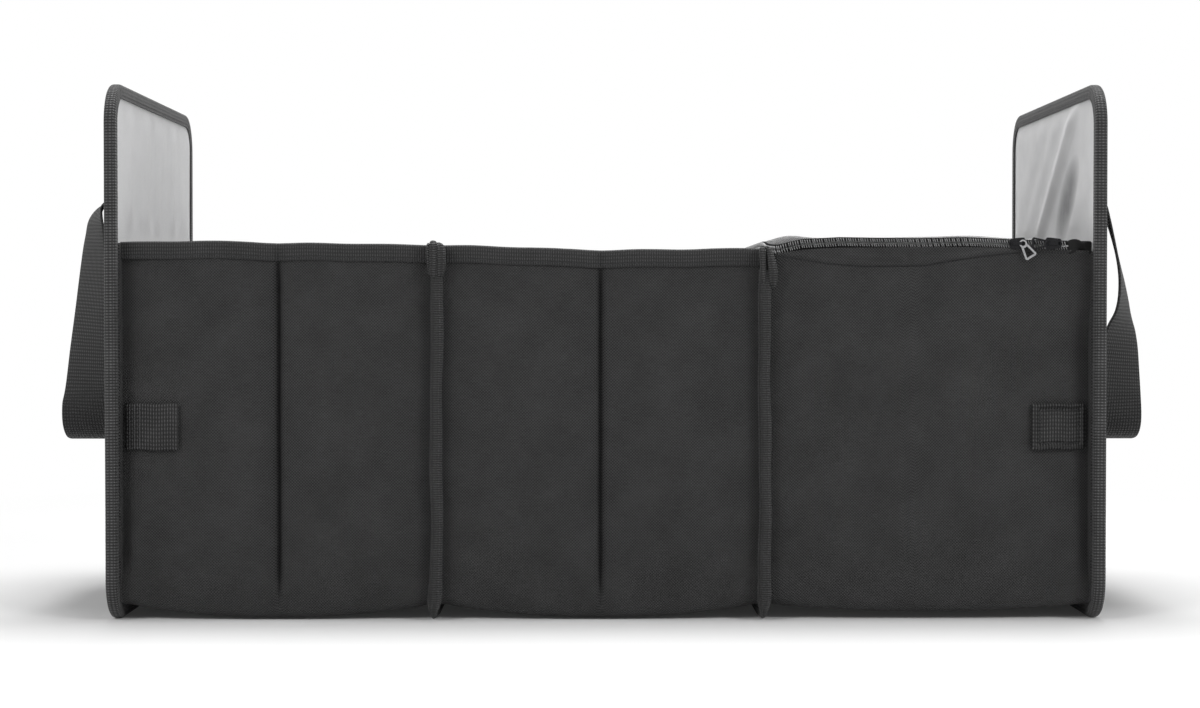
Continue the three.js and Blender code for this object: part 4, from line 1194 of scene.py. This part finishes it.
def zip_line(inward, end_x, step):
    """Plan of the zip: along the front, round the left side and back along the rear wall."""
    half, left = wall_plane - zip_inset - inward, zip_left + inward
    radius = zip_corner_radius - inward
    turns = np.linspace(0, np.pi / 2, 9)
    arc = [(left + radius - radius * math.sin(t), -half + radius - radius * math.cos(t)) for t in turns]
    line = [(end_x, -half)] + arc
    line = np.array(line + [(x, -y) for x, y in line[::-1]])
    along = run_length(line)
    places = np.linspace(0, along[-1], int(along[-1] / step) + 1)
    return np.stack([np.interp(places, along, line[:, k]) for k in range(2)], 1), places


zip_left = corners("wall_zip_tape")[0][0]
low, high = corners("lid_cover")
cover_edge = high[2] - cover_crown
lid_left, lid_right, lid_half = low[0], high[0], high[1]


def lid_height(x, y):
    gap = np.minimum(np.minimum(x - lid_left, (lid_right - x) * 1.4), lid_half - np.abs(y))
    crown = 1 - (1 - np.clip(gap / 62, 0, 1)) ** 2.4
    calm = np.clip(gap / 12, 0, 1)
    soft = 0.45 * np.sin(0.045 * x + 0.02 * y) + 0.35 * np.sin(0.031 * y - 0.017 * x + 1.1)
    drag = 0.5 * np.sin(0.16 * (x + 0.35 * np.abs(y))) * np.exp(-gap / 16) * calm
    bulge = 0.5 + 0.45 * bell(x - 248, 22)
    puff = 1.7 * smooth(0, 6, gap) * bell(x - 121, 12)
    return 3.2 * crown * bulge + puff + calm * soft * 0.8 + drag


def lid_outline(inward):
    line = zip_line(inward + 1.1, lid_right - inward, 3.0)[0]
    ys = np.linspace(line[-1][1], line[0][1], 60)[1:-1]
    return np.concatenate([line, np.stack([np.full(len(ys), line[0][0]), ys], 1)])


def lid_body(name, outline, low_z, high_z, over, under, finish, thick=None):
    """A closed form over the lid's outline; over and under say how far its two faces follow the crown."""
    middle = np.array([(lid_left + lid_right) / 2, 0.0])
    shares = np.concatenate([np.linspace(0.01, 0.9, 40), [0.93, 0.955, 0.975, 0.99, 1.0]])
    rings, weave = [], []

    def ring(share, z, follow, drop=0.0):
        flat = middle + (outline - middle) * share
        lift = lid_height(flat[:, 0], flat[:, 1]) * follow + zip_rise(flat[:, 0], flat[:, 1])
        rings.append([(x, y, z + h - drop) for (x, y), h in zip(flat, lift)])
        weave.append([(x, y, 0) for x, y in flat])

    for share in shares:
        ring(share, high_z, over, cover_edge_drop * float(smooth(0.975, 1.0, share)))
    if thick is None:
        for share in shares[::-1]:
            ring(share, low_z, under)
    else:
        ring(1.0, low_z, 0)
        inner = 1 - thick / 100
        ring(inner, low_z, 0)
        for share in shares[::-1] * inner:
            ring(share, high_z - thick, over, cover_edge_drop * float(smooth(0.975, 1.0, share / inner)))
    return loft_piece(name, rings, weave, finish, sharp=60)


# The lid is the black cloth with its colour lightened: painted sheen where light grazes its top, on top of the
# shader's own sheen.
lid_cloth = woven("black lid cloth with painted sheen", (0.03, 0.03, 0.031), (0.13, 0.13, 0.132), 0.62, 0.16,
                  Sheen_Weight=0.9, Sheen_Roughness=0.35, Specular_IOR_Level=0.4)
cover = lid_body("lid_cloth", lid_outline(0), low[2], cover_edge, 1, 1, lid_cloth,
                 thick=cover_thickness)
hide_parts("lid_cover")
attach(cover, "lid")
low, high = corners("lid_foam")
pad = lid_body("lid_pad", lid_outline(4), low[2], cover_edge - cover_thickness - seat, 0.95, 0,
               foam_finish)
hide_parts("lid_foam")
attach(pad, "lid")
low, high = corners("lid_liner")
film = lid_body("lid_film", lid_outline(4), low[2], high[2], 0.0, 0.0, film_finish)
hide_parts("lid_liner")
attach(film, "lid")

low, high = corners("lid_hinge_tape")
hinge_tape = slab("lid_hinge_cloth", low, high, 2, cloth_finish, soft=0.9, puff=0.2)
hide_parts("lid_hinge_tape")
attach(hinge_tape, "root")


# Zip: a black woven tape and a nylon coil on the walls and on the lid. Closed, the slanted turns of
# the two coils show as one row, 1.6 mm apart. A wide tape follows the zip's rise less at its foot.
zip_tape = woven("black zip tape", (0.0, 0.0, 0.0), (0.012, 0.012, 0.012), 0.5, 0.1, Specular_IOR_Level=0.3)
zip_tape_thickness = 0.8
wide_tape = 8
nylon = Finish("black nylon", roughness=0.32, Specular_IOR_Level=0.6)
place = nylon.threads()[0]
haze = nylon.noise(place, 0.8)
nylon.set("Base Color", nylon.colour(haze, (0.14, 0.14, 0.141), (0.46, 0.46, 0.464)))
nylon.set("Roughness", (haze * 0.2 + 0.15).clamped())


def zip_strip(name, node, body, inward, thick, end_x, low_z, high_z, rows=6):
    outer, along = zip_line(inward, end_x, 2.0)
    inner = zip_line(inward + thick, end_x, 2.0)[0]
    old, new = np.linspace(0, 1, len(inner)), np.linspace(0, 1, len(outer))
    inner = np.stack([np.interp(new, old, inner[:, k]) for k in range(2)], 1)
    heights = np.linspace(low_z, high_z, rows)
    wide = high_z - low_z
    follow = clamp01((heights - low_z) / wide * 0.75 + 0.25) if wide > wide_tape else np.ones(rows)
    rings, weave = [], []
    for (x, y), (a, b), s in zip(outer, inner, along):
        wave = 0.3 * (0.2 * math.sin(s * 0.16) + 0.12 * math.sin(s * 0.37))
        lifted = heights + float(zip_rise(x, y)) * follow
        way = np.array([x - a, y - b])
        way /= max(np.linalg.norm(way), 1e-6)
        rings.append([(p + way[0] * wave, q + way[1] * wave, z)
                      for p, q, row in ((x, y, lifted), (a, b, lifted[::-1])) for z in row])
        weave.append([(s, z, 0) for z in (*heights, *heights[::-1])])
    strip = loft_piece(name, rings, weave, zip_tape)
    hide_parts(node)
    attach(strip, body)


low, high = corners("wall_zip_tape")
zip_strip("wall_tape", "wall_zip_tape", "root", 0, zip_tape_thickness, high[0], low[2], high[2], rows=9)
low, high = corners("lid_zip_tape")
zip_strip("lid_tape", "lid_zip_tape", "lid", 0, zip_tape_thickness, high[0], low[2], high[2], rows=4)

coil_pitch = 1.6
coil_out = 1.35
coil_step = 0.4
tooth_half_width = 0.26
tooth_levels = ((0, 0.3), (0.12, 1), (0.5, 1), (0.88, 1), (1, 0.3))


def coil(name, node, body, low_z, high_z, slant, anchor, end_x):
    """Flat oval turns of thread along the zip, each leaning forwards by slant from its anchored end."""
    line, along = zip_line(-coil_out, end_x, coil_step)
    ahead = np.gradient(line, axis=0)
    ahead /= np.linalg.norm(ahead, axis=1)[:, None]
    points, faces, weave = [], [], []
    for s in np.arange(coil_pitch, along[-1] - 1, coil_pitch):
        i = int(s / coil_step)
        place, way = line[i], ahead[i]
        out = np.array([way[1], -way[0]])
        rise = float(zip_rise(*place))
        first = len(points)
        for level, size in tooth_levels:
            z = low_z + (high_z - low_z) * level
            for t in np.arange(6) * math.pi / 3:
                forwards = slant * (level - anchor) + tooth_half_width * size * math.cos(t)
                x, y = place + way * forwards + out * (size * math.sin(t))
                points.append((x, y, z + rise))
                weave.append((s, z, 0))
        faces += loft_faces(len(tooth_levels), 6, first=first)
    teeth = make_piece(name, points, faces, weave, nylon, sharp=70)
    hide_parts(node)
    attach(teeth, body)


low, high = corners("wall_zip_coil")
coil("wall_coil", "wall_zip_coil", "root", low[2] - 0.4, high[2] + 0.65, 1.0, 1, high[0])
low, high = corners("lid_zip_coil")
coil("lid_coil", "lid_zip_coil", "lid", low[2] - 0.45, high[2] + 0.7, 0.7, 0, high[0])


# Sliders and pulls: die-cast metal, blackened but for the bright nickel pull of the first slider.
# Each pull hangs by its eye. They keep the frame's meshes, with their edges rounded.
def cast_metal(name, dark, light, roughness):
    finish = Finish(name, roughness=roughness, metallic=1.0)
    place = finish.node("ShaderNodeTexCoord", {}, [], "Object")
    wear = finish.noise(place, 900, 4)
    finish.set("Base Color", finish.colour(wear, dark, light))
    finish.set("Roughness", (wear * 0.25 + (roughness - 0.1)).clamped())
    finish.bump(wear, 0.05)
    return finish


black_metal = cast_metal("blackened zinc", (0.010, 0.010, 0.011), (0.035, 0.035, 0.037), 0.26)
nickel = cast_metal("bright nickel", (0.20, 0.20, 0.205), (0.50, 0.50, 0.51), 0.18)
for node, finish, width in (("zip_slider", black_metal, 0.35), ("end_slider", black_metal, 0.35),
                            ("zip_pull", nickel, 0.22), ("end_pull", black_metal, 0.22)):
    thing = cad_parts[node]
    thing.data.materials.clear()
    thing.data.materials.append(finish.material)
    rounding = thing.modifiers.new("rounded edges", "BEVEL")
    rounding.width = width * MM
    rounding.segments = 3
    rounding.limit_method = "ANGLE"
    rounding.harden_normals = False


# The loose end of the zip's tape: black woven tape, folded over and tucked into the seam by the end
# panel. Its line is x, y, z and the tape's turn in degrees.
tail_line = [(307.4, -141.0, 248.6, 0), (310, -142.4, 249.4, 12), (313, -143.6, 249.6, 34),
             (316, -143.4, 249.2, 62), (319.2, -142.8, 248.6, 35), (322.6, -141.6, 247.4, 10)]
tail_outline = [(-4.6, -0.35), (0, -0.4), (4.6, -0.35), (4.6, 0.35), (0, 0.4), (-4.6, 0.35)]
tail = curve_through(tail_line, 8)
rings, weave = [], []
for (x, y, z, turn), s in zip(tail, run_length(tail[:, :3])):
    t = math.radians(turn)
    up = np.array([0, -math.sin(t), math.cos(t)])
    out = np.array([0, math.cos(t), math.sin(t)])
    rings.append([np.array([x, y, z]) + up * a + out * b for a, b in tail_outline])
    weave.append([(s, a, 0) for a, b in tail_outline])
tape_tail = loft_piece("zip_tape_tail", rings, weave, zip_tape, sharp=60)
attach(tape_tail, "root")
